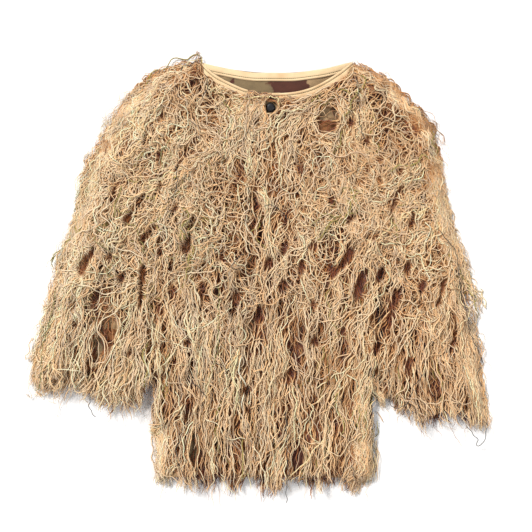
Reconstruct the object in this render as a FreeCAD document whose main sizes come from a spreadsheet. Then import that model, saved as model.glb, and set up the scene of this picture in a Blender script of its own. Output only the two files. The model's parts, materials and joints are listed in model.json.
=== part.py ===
"""A long-sleeved ghillie jacket laid flat on its back, closed, front side up.

The wearer's right is at -X and the wearer's left at +X. The collar is at +Y, the hem at -Y, and +Z points
away from the surface that the jacket lies on. The origin is the middle of its outline, on that surface.
The layers, from the surface up: back fringe, back cloth, space for the body, front cloth, front fringe.
The fringe is a mat of sewn-on yarn, and each mat is one plain solid of the height that the yarn stands.
"""

import FreeCAD, Part
import Sketcher
import os

SHEET_ROWS = [
    # Layers, heights above the surface.
    ("mat_under", 8),  # back fringe, pressed flat by the jacket's weight
    ("cloth", 1),
    ("right_z", 18),  # underside of the wearer's right front, which laps under
    ("left_z", 23.4),  # underside of the wearer's left front, which laps over
    ("sleeve_z", 17),
    ("mat_top", 46),
    ("sleeve_mat_top", 42),
    ("head_mat_top", 36),  # lower, so that an opened front clears the sleeve head
    # Torso outline.
    ("top_y", 379),
    ("neck_x", 26),  # the neck lies a little towards the wearer's left
    ("neck_half", 133),
    ("shoulder_y", 344),
    ("side_right_x", 190),
    ("side_left_x", 212),
    ("armhole_y", 228),
    ("armhole_radius", 85),
    ("seam_gap", 1),  # between the sleeve head and the armhole
    ("armpit_y", 143),
    ("hem_right_x", 178),
    ("hem_left_x", 190),
    ("hem_y", 352),
    ("mat_hem_y", 379),
    ("mat_flare", 4),
    # Neckline.
    ("neck_front_drop", 57),
    ("neck_back_drop", 19),
    ("tape_width", 15),
    ("tape_thick", 2.4),
    ("tape_stop_x", 23),  # the right front's tape ends here, short of its edge
    # Front opening.
    ("fold_right_x", 80),
    ("fold_left_x", 104),
    ("lap_x", 32),
    ("fold_gap", 0.4),
    ("fold_wall_right", 46),  # slope of the mat beside each fold, from upright
    ("fold_wall_left", 62),
    ("placket_width", 34),
    # Snap fasteners.
    ("snap_count", 5),
    ("snap_x", 16),
    ("snap_first_y", 297),
    ("snap_pitch", 145),
    ("cap_radius", 8),
    ("cap_rise", 2.2),
    ("socket_radius", 6),
    ("socket_height", 2.4),
    ("socket_bore", 3),
    ("socket_roof", 0.6),
    ("stud_radius", 2.6),
    ("stud_rise", 1.8),
    ("flange_thick", 0.6),
    ("rivet_radius", 1.6),
    ("rivet_hole", 1.8),
    # Trim.
    ("seam_width", 4),
    ("hem_fold", 18),
    ("elastic_width", 12),
    ("elastic_thick", 1.4),
    # Sleeves.
    ("sleeve_inset", 2.5),
    ("cuff_right_outer_x", 378),
    ("cuff_right_outer_y", 150),
    ("cuff_right_inner_x", 208),
    ("cuff_right_inner_y", 190),
    ("cuff_left_outer_x", 378),
    ("cuff_left_outer_y", 205),
    ("cuff_left_inner_x", 216),
    ("cuff_left_inner_y", 215),
    ("mat_half_width", 398),
    ("mat_right_outer_y", 185),
    ("mat_right_low_y", 236),
    ("mat_right_inner_x", 203),
    ("mat_left_outer_y", 240),
    ("mat_left_low_y", 256),
    ("mat_left_inner_x", 212),
    # Beyond the jacket, for cuts that run off it.
    ("far", 2000),
]
# Worked out from the rows above.
DERIVED_ROWS = [
    ("back_z", "mat_under"),
    ("cavity_z", "back_z + cloth"),
    ("right_top", "right_z + cloth"),
    ("left_top", "left_z + cloth"),
    ("sleeve_top", "sleeve_z + cloth"),
    ("head_radius", "armhole_radius - seam_gap"),
    # A neckline is an arc through both neck points, which are two half-widths apart, with the given drop.
    ("neck_front_radius", "(neck_half^2 + neck_front_drop^2) / (2 * neck_front_drop)"),
    ("neck_back_radius", "(neck_half^2 + neck_back_drop^2) / (2 * neck_back_drop)"),
    ("neck_front_y", "top_y - neck_front_drop + neck_front_radius"),
    ("neck_back_y", "top_y - neck_back_drop + neck_back_radius"),
    ("neck_right_x", "neck_x - neck_half"),
    ("neck_left_x", "neck_x + neck_half"),
]
CUT_ABOVE = "sheet.mat_top + 10"  # sketches for cuts lie above everything and cut downwards

os.makedirs("parts", exist_ok=True)
doc = FreeCAD.newDocument("ghillie_jacket")
sheet = doc.addObject("Spreadsheet::Sheet", "sheet")
nodes = []


def fill_sheet():
    for row, (alias, value) in enumerate(SHEET_ROWS + DERIVED_ROWS, start=1):
        sheet.set(f"A{row}", alias)
        sheet.set(f"B{row}", str(value) if not isinstance(value, str) else "=" + value)
        sheet.setAlias(f"B{row}", alias)
    doc.recompute()


def value_of(expression):
    """The number that an expression over the sheet's cells gives."""
    found = sheet.evalExpression(str(expression).replace("sheet.", ""))
    return float(getattr(found, "Value", found))


def new_body(label):
    body = doc.addObject("PartDesign::Body", label)
    body.Label = label
    body.AllowCompound = True
    nodes.append(body)
    return body


def origin_plane(body, role):
    return next(plane for plane in body.Origin.OriginFeatures if plane.Role == role)


def new_sketch(body, name, height, role="XY_Plane"):
    """A sketch on one of the body's origin planes, moved along that plane's normal by height."""
    sketch = body.newObject("Sketcher::SketchObject", name)
    sketch.AttachmentSupport = [(origin_plane(body, role), "")]
    sketch.MapMode = "FlatFace"
    sketch.setExpression(".AttachmentOffset.Base.z", str(height))
    return sketch


def pin_point(sketch, geometry, which, x, y):
    """Ties a sketch point to two expressions, measured from the sketch's origin."""
    for kind, expression in (("DistanceX", x), ("DistanceY", y)):
        index = sketch.addConstraint(
            Sketcher.Constraint(kind, -1, 1, geometry, which, value_of(expression))
        )
        sketch.setExpression(f"Constraints[{index}]", str(expression))


def polygon_sketch(body, name, corners, height, role="XY_Plane"):
    sketch = new_sketch(body, name, height, role)
    points = [FreeCAD.Vector(value_of(x), value_of(y), 0) for x, y in corners]
    count = len(points)
    for i in range(count):
        sketch.addGeometry(Part.LineSegment(points[i], points[(i + 1) % count]), False)
    for i in range(count):
        sketch.addConstraint(Sketcher.Constraint("Coincident", i, 2, (i + 1) % count, 1))
    for i, (x, y) in enumerate(corners):
        pin_point(sketch, i, 1, x, y)
    return sketch


def circle_sketch(body, name, x, y, radii, height):
    """Concentric circles. Two radii make a ring."""
    sketch = new_sketch(body, name, height)
    for i, radius in enumerate(radii):
        centre = FreeCAD.Vector(value_of(x), value_of(y), 0)
        circle = Part.Circle(centre, FreeCAD.Vector(0, 0, 1), value_of(radius))
        sketch.addGeometry(circle, False)
        pin_point(sketch, i, 3, x, y)
        index = sketch.addConstraint(Sketcher.Constraint("Radius", i, value_of(radius)))
        sketch.setExpression(f"Constraints[{index}]", str(radius))
    return sketch


def pad(body, name, sketch, length, both_ways=False):
    feature = body.newObject("PartDesign::Pad", name)
    feature.Profile = sketch
    feature.setExpression("Length", str(length))
    if both_ways:
        feature.SideType = "Symmetric"
    return feature


def cut_through(body, name, sketch, both_ways=False):
    """Cuts the sketch's shape right through the body, downwards or, with both_ways, to both sides."""
    before = body_volume(body)
    feature = body.newObject("PartDesign::Pocket", name)
    feature.Profile = sketch
    feature.Type = "ThroughAll"
    if both_ways:
        feature.SideType = "Symmetric"
    if body_volume(body) >= before:
        raise RuntimeError(f"{body.Label}: {name} cut nothing")
    return feature


def body_volume(body):
    doc.recompute()
    return body.Shape.Volume


def plate(label, corners, height, thickness):
    """A flat panel: a polygon of the given thickness, at the given height."""
    body = new_body(label)
    pad(body, label + "_pad", polygon_sketch(body, label + "_outline", corners, height), thickness)
    return body


def cut_circle(body, name, x, y, radius):
    cut_through(body, name, circle_sketch(body, name + "_circle", x, y, [radius], CUT_ABOVE))


def cut_polygon(body, name, corners):
    cut_through(body, name, polygon_sketch(body, name + "_outline", corners, CUT_ABOVE))


def cut_armholes(body, sides):
    for side in sides:
        x = "-sheet.side_right_x" if side == "right" else "sheet.side_left_x"
        cut_circle(body, f"{body.Label}_armhole_{side}", x, "sheet.armhole_y", "sheet.armhole_radius")


def cut_neckline(body, which, extra="0"):
    """Cuts the front or back neckline's arc, lowered by extra."""
    cut_circle(
        body,
        f"{body.Label}_neckline",
        "sheet.neck_x",
        f"sheet.neck_{which}_y",
        f"sheet.neck_{which}_radius + {extra}",
    )


def cut_fold_slope(body, side, top_z, towards):
    """Slopes the mat back from a fold line, so that the mats clear each other when the front folds open."""
    fold = {"right": "-sheet.fold_right_x", "left": "sheet.fold_left_x"}[side]
    rise = f"(sheet.mat_top - {top_z} + 2)"
    reach = f"{rise} * tan(sheet.fold_wall_{side})"
    corners = [
        (fold, top_z),
        (f"{fold} + {towards} * {reach}", f"{top_z} + {rise}"),
        (f"{fold} - {towards} * 5", f"{top_z} + {rise}"),
        (f"{fold} - {towards} * 5", top_z),
    ]
    name = f"{body.Label}_fold"
    cut_through(body, name, polygon_sketch(body, name + "_slope", corners, "0", "XZ_Plane"), True)


TORSO = [
    ("sheet.neck_right_x", "sheet.top_y"),
    ("-sheet.side_right_x", "sheet.shoulder_y"),
    ("-sheet.side_right_x", "sheet.armpit_y"),
    ("-sheet.hem_right_x", "-sheet.hem_y"),
    ("sheet.hem_left_x", "-sheet.hem_y"),
    ("sheet.side_left_x", "sheet.armpit_y"),
    ("sheet.side_left_x", "sheet.shoulder_y"),
    ("sheet.neck_left_x", "sheet.top_y"),
]
TORSO_MAT = [
    *TORSO[:3],
    ("-sheet.hem_right_x - sheet.mat_flare", "-sheet.mat_hem_y"),
    ("sheet.hem_left_x", "-sheet.mat_hem_y"),
    *TORSO[5:],
]
SIDE_RIGHT = [
    *TORSO[:4],
    ("-sheet.fold_right_x - sheet.fold_gap", "-sheet.hem_y"),
    ("-sheet.fold_right_x - sheet.fold_gap", "sheet.top_y"),
]
SIDE_LEFT = [
    ("sheet.fold_left_x + sheet.fold_gap", "sheet.top_y"),
    ("sheet.fold_left_x + sheet.fold_gap", "-sheet.hem_y"),
    *TORSO[4:],
]


def strip(label, x_low, x_high, y_low, y_high, height, thickness):
    return plate(
        label,
        [(x_low, y_low), (x_high, y_low), (x_high, y_high), (x_low, y_high)],
        height,
        thickness,
    )


def back():
    body = plate("back_fringe", TORSO_MAT, "0", "sheet.mat_under")
    cut_armholes(body, ("right", "left"))
    cut_neckline(body, "back")
    body = plate("back_panel", TORSO, "sheet.back_z", "sheet.cloth")
    cut_armholes(body, ("right", "left"))
    cut_neckline(body, "back")
    strip(
        "hem_fold_back",
        "-sheet.hem_right_x + sheet.seam_width + 1",
        "sheet.hem_left_x - sheet.seam_width - 1",
        "-sheet.hem_y",
        "-sheet.hem_y + sheet.hem_fold",
        "sheet.cavity_z",
        "sheet.cloth",
    )


def front_sides():
    for side, outline, height in (
        ("right", SIDE_RIGHT, "sheet.right_z"),
        ("left", SIDE_LEFT, "sheet.left_z"),
    ):
        top_z = f"sheet.{side}_top"
        body = plate(f"front_side_{side}", outline, height, "sheet.cloth")
        cut_armholes(body, (side,))
        cut_neckline(body, "front")
        mat_outline = list(outline)
        low = [i for i, corner in enumerate(outline) if corner[1] == "-sheet.hem_y"]
        for i in low:
            mat_outline[i] = (outline[i][0], "-sheet.mat_hem_y")
        body = plate(f"front_side_fringe_{side}", mat_outline, top_z, f"sheet.mat_top - {top_z}")
        cut_armholes(body, (side,))
        cut_neckline(body, "front", "sheet.tape_width + 0.5")
        cut_fold_slope(body, side, top_z, -1 if side == "right" else 1)


def front_flaps():
    """Both halves of the front opening, from each fold line to the middle. The left laps over the right."""
    right_in, right_out = "-sheet.fold_right_x", "sheet.lap_x"
    left_in, left_out = "sheet.fold_left_x", "0"
    for side, x_low, x_high in (("right", right_in, right_out), ("left", left_out, left_in)):
        top_z = f"sheet.{side}_top"
        body = strip(
            f"front_panel_{side}",
            x_low,
            x_high,
            "-sheet.hem_y",
            "sheet.top_y",
            f"sheet.{side}_z",
            "sheet.cloth",
        )
        cut_neckline(body, "front")
        cut_rivet_holes(body)
        edge_gap = "-1" if side == "right" else "0"
        mat_low, mat_high = (x_low, edge_gap) if side == "right" else (x_low, x_high)
        body = strip(
            f"front_fringe_{side}",
            mat_low,
            mat_high,
            "-sheet.mat_hem_y",
            "sheet.top_y",
            top_z,
            f"sheet.mat_top - {top_z}",
        )
        cut_neckline(body, "front", "sheet.tape_width + 0.5")
        cut_fold_slope(body, side, top_z, 1 if side == "right" else -1)
        if side == "left":
            clear_caps(body)


def clear_caps(body):
    """The mat stops short of the top snap, which shows at the collar."""
    cut_polygon(
        body,
        f"{body.Label}_snap_bay",
        [
            ("-5", "sheet.snap_first_y - sheet.cap_radius - 2"),
            ("sheet.snap_x + sheet.cap_radius + 2", "sheet.snap_first_y - sheet.cap_radius - 2"),
            ("sheet.snap_x + sheet.cap_radius + 2", "sheet.top_y"),
            ("-5", "sheet.top_y"),
        ],
    )
    for i in range(1, int(value_of("sheet.snap_count"))):
        cut_circle(
            body,
            f"{body.Label}_cap_{i}",
            "sheet.snap_x",
            f"sheet.snap_first_y - {i} * sheet.snap_pitch",
            "sheet.cap_radius + 0.5",
        )


def plackets():
    """Facing strips that carry the snaps, under the cloth of each front edge."""
    for side, x_low, x_high in (
        ("right", "sheet.lap_x - sheet.placket_width", "sheet.lap_x"),
        ("left", "0", "sheet.placket_width"),
    ):
        body = strip(
            f"placket_{side}",
            x_low,
            x_high,
            "-sheet.hem_y + sheet.hem_fold + 1",
            "sheet.top_y",
            f"sheet.{side}_z - sheet.cloth",
            "sheet.cloth",
        )
        cut_neckline(body, "front")
        cut_rivet_holes(body)


def cut_rivet_holes(body):
    for i in range(int(value_of("sheet.snap_count"))):
        cut_circle(
            body,
            f"{body.Label}_hole_{i}",
            "sheet.snap_x",
            f"sheet.snap_first_y - {i} * sheet.snap_pitch",
            "sheet.rivet_hole",
        )


def turned(label, profile):
    """A turned piece on the first snap's axis, repeated down the front. Its profile is (radius, height)."""
    body = new_body(label)
    corners = [(f"sheet.snap_x + {radius}", height) for radius, height in profile]
    sketch = polygon_sketch(body, label + "_profile", corners, "-sheet.snap_first_y", "XZ_Plane")
    low, high = (FreeCAD.Vector(value_of("sheet.snap_x"), y, 0) for y in (0, 10))
    axis = sketch.addGeometry(Part.LineSegment(low, high), True)
    pin_point(sketch, axis, 1, "sheet.snap_x", "0")
    pin_point(sketch, axis, 2, "sheet.snap_x", "10")
    turn = body.newObject("PartDesign::Revolution", label + "_turn")
    turn.Profile = sketch
    turn.ReferenceAxis = (sketch, ["Axis0"])
    turn.Angle = 360
    doc.recompute()
    row = body.newObject("PartDesign::LinearPattern", label + "_row")
    row.Originals = [turn]
    row.Direction = (origin_plane(body, "XZ_Plane"), [""])
    row.setExpression("Length", "sheet.snap_pitch * (sheet.snap_count - 1)")
    row.setExpression("Occurrences", "sheet.snap_count")
    body.Tip = row
    doc.recompute()
    if body.Shape.BoundBox.YMax > value_of("sheet.snap_first_y + sheet.cap_radius + 1"):
        row.Reversed = True
        doc.recompute()
    return body


def snaps():
    """Press studs. Each cap is riveted through the left front to a socket, which grips the stud below."""
    cloth_top, face = "sheet.left_top", "(sheet.left_z - sheet.cloth)"
    socket_low = f"({face} - sheet.socket_height)"
    roof_low = f"({face} - sheet.socket_roof)"
    turned(
        "snap_caps",
        [
            ("0", roof_low),
            ("sheet.rivet_radius", roof_low),
            ("sheet.rivet_radius", cloth_top),
            ("sheet.cap_radius", cloth_top),
            ("sheet.cap_radius", f"{cloth_top} + 0.35 * sheet.cap_rise"),
            ("0.86 * sheet.cap_radius", f"{cloth_top} + 0.75 * sheet.cap_rise"),
            ("0.55 * sheet.cap_radius", f"{cloth_top} + sheet.cap_rise"),
            ("0", f"{cloth_top} + sheet.cap_rise"),
        ],
    )
    turned(
        "snap_sockets",
        [
            ("sheet.rivet_hole", roof_low),
            ("sheet.socket_bore", roof_low),
            ("sheet.socket_bore", socket_low),
            ("sheet.socket_radius", socket_low),
            ("sheet.socket_radius", face),
            ("sheet.rivet_hole", face),
        ],
    )
    stud_low = "sheet.right_top"
    turned(
        "snap_studs",
        [
            ("0", stud_low),
            ("sheet.socket_radius", stud_low),
            ("sheet.socket_radius", f"{stud_low} + sheet.flange_thick"),
            ("sheet.stud_radius - 0.3", f"{stud_low} + sheet.flange_thick"),
            ("sheet.stud_radius", f"{stud_low} + sheet.flange_thick + 0.6 * sheet.stud_rise"),
            ("sheet.stud_radius - 0.5", f"{stud_low} + sheet.flange_thick + sheet.stud_rise"),
            ("0", f"{stud_low} + sheet.flange_thick + sheet.stud_rise"),
        ],
    )
    eyelet_top = "(sheet.right_z - sheet.cloth)"
    turned(
        "snap_eyelets",
        [
            ("0", f"{eyelet_top} - sheet.flange_thick"),
            ("sheet.socket_radius - 1", f"{eyelet_top} - sheet.flange_thick"),
            ("sheet.socket_radius - 1", eyelet_top),
            ("sheet.rivet_radius", eyelet_top),
            ("sheet.rivet_radius", "sheet.right_top"),
            ("0", "sheet.right_top"),
        ],
    )


def neck_tape(label, which, height, x_low=None, x_high=None):
    """A stretch of the tape that binds the neckline: part of a ring that follows the neckline's arc."""
    body = new_body(label)
    ring = circle_sketch(
        body,
        label + "_ring",
        "sheet.neck_x",
        f"sheet.neck_{which}_y",
        [f"sheet.neck_{which}_radius", f"sheet.neck_{which}_radius + sheet.tape_width"],
        height,
    )
    pad(body, label + "_pad", ring, "sheet.tape_thick")
    above_shoulders = [
        ("-sheet.far", "sheet.far"),
        ("-sheet.far", "sheet.shoulder_y"),
        ("-sheet.side_right_x", "sheet.shoulder_y"),
        ("sheet.neck_right_x", "sheet.top_y"),
        ("sheet.neck_left_x", "sheet.top_y"),
        ("sheet.side_left_x", "sheet.shoulder_y"),
        ("sheet.far", "sheet.shoulder_y"),
        ("sheet.far", "sheet.far"),
    ]
    cut_polygon(body, label + "_above", above_shoulders)
    low_y, high_y = "-sheet.far", "sheet.far"
    for name, near, outer in (("low", x_low, "-sheet.far"), ("high", x_high, "sheet.far")):
        if near is not None:
            corners = [(near, low_y), (outer, low_y), (outer, high_y), (near, high_y)]
            cut_polygon(body, f"{label}_{name}", corners)
    return body


def neck_tapes():
    fold_right, fold_left = "-sheet.fold_right_x", "sheet.fold_left_x"
    right, left = "sheet.right_top", "sheet.left_top"
    neck_tape("neck_tape_back", "back", "sheet.cavity_z")
    tape = neck_tape("neck_tape_side_right", "front", right, x_high=f"{fold_right} - sheet.fold_gap")
    cut_fold_slope(tape, "right", right, -1)
    tape = neck_tape("neck_tape_right", "front", right, fold_right, "-sheet.tape_stop_x")
    cut_fold_slope(tape, "right", right, 1)
    tape = neck_tape("neck_tape_left", "front", left, "sheet.snap_x + sheet.cap_radius + 1", fold_left)
    cut_fold_slope(tape, "left", left, -1)
    tape = neck_tape("neck_tape_side_left", "front", left, x_low=f"{fold_left} + sheet.fold_gap")
    cut_fold_slope(tape, "left", left, 1)


def hem_folds():
    """The turned-up hem on each piece of the front, inside the cloth."""
    gap = "(sheet.seam_width + 1)"
    for label, x_low, x_high, side in (
        ("hem_fold_side_right", f"-sheet.hem_right_x + {gap}", "-sheet.fold_right_x - 1", "right"),
        ("hem_fold_right", "-sheet.fold_right_x + 1", "sheet.lap_x", "right"),
        ("hem_fold_left", "0", "sheet.fold_left_x - 1", "left"),
        ("hem_fold_side_left", "sheet.fold_left_x + 1", f"sheet.hem_left_x - {gap}", "left"),
    ):
        strip(
            label,
            x_low,
            x_high,
            "-sheet.hem_y",
            "-sheet.hem_y + sheet.hem_fold",
            f"sheet.{side}_z - sheet.cloth",
            "sheet.cloth",
        )


def slanted_strip(label, start, end, width, height, thickness):
    """A strip whose first edge runs from start to end, with its width along X."""
    (x1, y1), (x2, y2) = start, end
    corners = [(x1, y1), (x2, y2), (f"{x2} + {width}", y2), (f"{x1} + {width}", y1)]
    return plate(label, corners, height, thickness)


def seams():
    """The seams that join front to back at the sides and over the shoulders."""
    for side, sign in (("right", "-"), ("left", "")):
        inwards = "sheet.seam_width" if side == "right" else "-sheet.seam_width"
        rise = f"sheet.{side}_z - sheet.cavity_z"
        armpit = (f"{sign}sheet.side_{side}_x", "sheet.armpit_y - 1")
        hem = (f"{sign}sheet.hem_{side}_x", "-sheet.hem_y")
        slanted_strip(f"side_seam_{side}", armpit, hem, inwards, "sheet.cavity_z", rise)
        neck = (f"sheet.neck_{side}_x", "sheet.top_y")
        tip = (f"{sign}sheet.side_{side}_x", "sheet.shoulder_y")
        drop = "1.4 * sheet.seam_width"
        body = plate(
            f"shoulder_seam_{side}",
            [neck, tip, (tip[0], f"{tip[1]} - {drop}"), (neck[0], f"{neck[1]} - {drop}")],
            "sheet.cavity_z",
            rise,
        )
        clear_of_tape = "sheet.neck_back_radius + sheet.tape_width + 0.5"
        cut_circle(body, f"shoulder_seam_{side}_neck", "sheet.neck_x", "sheet.neck_back_y", clear_of_tape)


def sleeve_layer(label, side, corners, height, thickness, head_thickness=None):
    """A flat layer of one sleeve: its round head, which turns in the armhole, and the arm below it."""
    sign = "-" if side == "right" else ""
    body = plate(label, corners, height, thickness)
    centre = f"{sign}sheet.side_{side}_x"
    name = label + "_head_circle"
    head = circle_sketch(body, name, centre, "sheet.armhole_y", ["sheet.head_radius"], height)
    pad(body, label + "_head", head, head_thickness or thickness)
    return body


def arm_outline(side, cuff):
    """From the sleeve head's outer edge down to the cuff and up the inside. cuff lists the low corners."""
    sign, out = ("-", "-1") if side == "right" else ("", "1")
    centre = f"{sign}sheet.side_{side}_x"
    inner = f"{centre} + {out} * sheet.sleeve_inset"
    outer = f"{centre} + {out} * sheet.head_radius"
    return [(outer, "sheet.armhole_y"), *cuff, (inner, "sheet.armpit_y - 4"), (inner, "sheet.armhole_y")]


def sleeve(side):
    sign, out = ("-", "-1") if side == "right" else ("", "1")
    outer_cuff = (f"{sign}sheet.cuff_{side}_outer_x", f"-sheet.cuff_{side}_outer_y")
    inner_cuff = (f"{sign}sheet.cuff_{side}_inner_x", f"-sheet.cuff_{side}_inner_y")
    cloth = arm_outline(side, [outer_cuff, inner_cuff])
    low_x = f"{sign}(0.25 * sheet.mat_half_width + 0.75 * sheet.mat_{side}_inner_x + 60)"
    mat = arm_outline(
        side,
        [
            (f"{sign}sheet.mat_half_width", f"-sheet.mat_{side}_outer_y"),
            (low_x, f"-sheet.mat_{side}_low_y"),
            (f"{sign}sheet.mat_{side}_inner_x", f"-sheet.mat_{side}_low_y + 6"),
        ],
    )
    sleeve_layer(f"sleeve_fringe_under_{side}", side, mat, "0", "sheet.mat_under")
    sleeve_layer(f"sleeve_under_{side}", side, cloth, "sheet.back_z", "sheet.cloth")
    sleeve_layer(f"sleeve_upper_{side}", side, cloth, "sheet.sleeve_z", "sheet.cloth")
    mat_height = "sheet.sleeve_mat_top - sheet.sleeve_top"
    head_height = "sheet.head_mat_top - sheet.sleeve_top"
    sleeve_layer(f"sleeve_fringe_{side}", side, mat, "sheet.sleeve_top", mat_height, head_height)
    rise = "sheet.sleeve_z - sheet.cavity_z"
    inwards = "sheet.seam_width" if side == "right" else "-sheet.seam_width"
    outwards = "-sheet.seam_width" if side == "right" else "sheet.seam_width"
    slanted_strip(f"sleeve_seam_outer_{side}", cloth[0], outer_cuff, inwards, "sheet.cavity_z", rise)
    slanted_strip(f"sleeve_seam_inner_{side}", cloth[-2], inner_cuff, outwards, "sheet.cavity_z", rise)
    cuff_elastic(side, outer_cuff, inner_cuff, out)


def cuff_elastic(side, outer_cuff, inner_cuff, out):
    """Two flat runs of elastic inside the cuff, one on each layer of cloth."""
    body = new_body(f"cuff_elastic_{side}")
    clear = f"({out} * (sheet.seam_width + 6))"
    (x1, y1), (x2, y2) = outer_cuff, inner_cuff
    corners = [
        (f"{x1} - {clear}", y1),
        (f"{x2} + {clear}", y2),
        (f"{x2} + {clear}", f"{y2} + sheet.elastic_width"),
        (f"{x1} - {clear}", f"{y1} + sheet.elastic_width"),
    ]
    for name, height in (("low", "sheet.cavity_z"), ("high", "sheet.sleeve_z - sheet.elastic_thick")):
        sketch = polygon_sketch(body, f"cuff_elastic_{side}_{name}", corners, height)
        pad(body, f"cuff_elastic_{side}_{name}_run", sketch, "sheet.elastic_thick")


def check_and_write():
    doc.recompute()
    broken = [o.Label for o in doc.Objects if "Invalid" in o.State or "Error" in o.State]
    for body in nodes:
        shape = body.Shape
        if shape.isNull() or not shape.isValid() or not shape.Solids:
            broken.append(body.Label)
    if broken:
        raise RuntimeError(f"these did not build: {sorted(set(broken))}")
    for body in nodes:
        body.Shape.exportStep(os.path.join("parts", body.Label + ".step"))
    whole = Part.makeCompound([body.Shape for body in nodes]).BoundBox
    print(len(nodes), "nodes", whole)


fill_sheet()
back()
front_sides()
front_flaps()
plackets()
snaps()
neck_tapes()
hem_folds()
seams()
sleeve("right")
sleeve("left")
check_and_write()
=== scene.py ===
"""The looks of a ghillie jacket laid flat: camouflage cloth, taped neck, press studs and sewn-on yarn fringe.

Lengths are in metres, in the CAD frame: the wearer's right is at -X, the collar at +Y, and +Z is up.
"""

import json
import math

import bpy
import numpy as np
from numpy.random import default_rng
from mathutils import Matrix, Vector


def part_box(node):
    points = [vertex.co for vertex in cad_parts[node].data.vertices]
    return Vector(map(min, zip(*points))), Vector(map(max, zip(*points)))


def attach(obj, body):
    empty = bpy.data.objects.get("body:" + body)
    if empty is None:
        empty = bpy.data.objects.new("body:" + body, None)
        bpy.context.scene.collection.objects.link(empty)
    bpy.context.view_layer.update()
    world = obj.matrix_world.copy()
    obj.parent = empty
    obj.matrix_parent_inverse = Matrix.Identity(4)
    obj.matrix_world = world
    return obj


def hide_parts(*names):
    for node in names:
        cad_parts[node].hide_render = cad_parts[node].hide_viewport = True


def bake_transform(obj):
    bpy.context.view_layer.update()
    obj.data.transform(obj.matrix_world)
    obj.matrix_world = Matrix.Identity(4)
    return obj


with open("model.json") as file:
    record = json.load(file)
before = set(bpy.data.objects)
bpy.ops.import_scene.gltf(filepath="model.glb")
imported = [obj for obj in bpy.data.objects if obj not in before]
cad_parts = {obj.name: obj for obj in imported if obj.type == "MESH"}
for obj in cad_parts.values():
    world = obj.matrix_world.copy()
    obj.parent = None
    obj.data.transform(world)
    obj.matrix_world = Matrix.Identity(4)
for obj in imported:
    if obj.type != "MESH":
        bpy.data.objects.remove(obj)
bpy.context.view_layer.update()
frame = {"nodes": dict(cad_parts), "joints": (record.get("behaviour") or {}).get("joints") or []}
MM = 0.001
SIDES = ("right", "left")
OUT = {"right": -1.0, "left": 1.0}  # which way along X each side lies from the middle

# -------- places, read from the CAD frame


def node_points(node):
    return np.array([vertex.co for vertex in frame["nodes"][node].data.vertices], float)


def low(node):
    return np.array(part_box(node)[0], float)


def high(node):
    return np.array(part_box(node)[1], float)


joints = {joint["name"]: joint for joint in frame["joints"]}
back_low, back_high = low("back_panel"), high("back_panel")
HEM_Y, TOP_Y = back_low[1], back_high[1]
top_points = node_points("back_panel")
top_points = top_points[top_points[:, 1] > TOP_Y - 0.1 * MM]
NECK_X = {"right": top_points[:, 0].min(), "left": top_points[:, 0].max()}
NECK_MID = (NECK_X["right"] + NECK_X["left"]) / 2
NECK_HALF = (NECK_X["left"] - NECK_X["right"]) / 2
SIDE_X = {"right": back_low[0], "left": back_high[0]}
# The turned hems stop 5 mm short of the sides.
HEM_X = {"right": low("hem_fold_back")[0] - 5 * MM, "left": high("hem_fold_back")[0] + 5 * MM}
SHOULDER_Y = low("shoulder_seam_right")[1] + 5.6 * MM
ARMPIT_Y = high("side_seam_right")[1]
LAP_X = high("front_panel_right")[0]
CLOTH_Z = {"right": high("front_panel_right")[2], "left": high("front_panel_left")[2]}
BACK_Z = back_high[2]
MAT_TOP = high("front_fringe_left")[2]
TAPE_WIDTH = 15 * MM
CLOTH_THICK = 0.7 * MM
PIVOT = {side: np.array(joints[f"sleeve_{side}_swing"]["pos_m"][:2]) for side in SIDES}
HEAD_R = 84 * MM  # of the sleeve heads
SLEEVE_Z = high("sleeve_upper_right")[2]
SLEEVE_MAT_TOP = high("sleeve_fringe_right")[2]
CUFF_OUT, CUFF_IN = {}, {}
for side in SIDES:
    cloth = node_points(f"sleeve_upper_{side}")
    CUFF_OUT[side] = cloth[np.argmax(np.abs(cloth[:, 0])), :2]
    CUFF_IN[side] = cloth[np.argmin(cloth[:, 1]), :2]
SNAP_X = float((low("snap_caps")[0] + high("snap_caps")[0]) / 2)
CAP_R = float((high("snap_caps")[0] - low("snap_caps")[0]) / 2)
SNAP_FIRST_Y = float(high("snap_caps")[1] - CAP_R)
NECK_DROP = {"front": 57 * MM, "back": 19 * MM}


def neckline_y(x, which, lower=0.0):
    """The height along Y of a neckline's arc at x, or of a curve that runs lower by that much across it."""
    drop = NECK_DROP[which]
    radius = (NECK_HALF**2 + drop**2) / (2 * drop)
    centre_y = TOP_Y - drop + radius
    reach = np.clip(np.abs(x - NECK_MID), 0, 0.999 * (radius + lower))
    return centre_y - np.sqrt((radius + lower) ** 2 - reach**2)


# -------- numbers that several parts use


def smooth_step(x, start, end):
    t = np.clip((x - start) / (end - start), 0, 1)
    return t * t * (3 - 2 * t)


def along(line, axis=-2):
    """The unit direction of a line at each of its points."""
    way = np.gradient(line, axis=axis)
    return way / (np.linalg.norm(way, axis=-1, keepdims=True) + 1e-12)


def run_of(line):
    """How far along a line each of its points is."""
    return np.concatenate([[0], np.cumsum(np.linalg.norm(np.diff(line, axis=0), axis=1))])


class Ripples:
    """A smooth random field over the plane, about -1 to 1, with bumps of about the given size."""

    def __init__(self, seed, size, waves=9):
        rng = default_rng(seed)  # a generator is used as it is
        angle = rng.uniform(0, math.tau, waves)
        rate = math.tau / (size * rng.uniform(0.7, 1.6, waves))
        self.kx, self.ky = rate * np.cos(angle), rate * np.sin(angle)
        self.phase = rng.uniform(0, math.tau, waves)
        self.scale = math.sqrt(2 / waves)

    def __call__(self, x, y):
        total = np.zeros(np.shape(x))
        for kx, ky, phase in zip(self.kx, self.ky, self.phase):
            total += np.cos(kx * x + ky * y + phase)
        return total * self.scale


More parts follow.
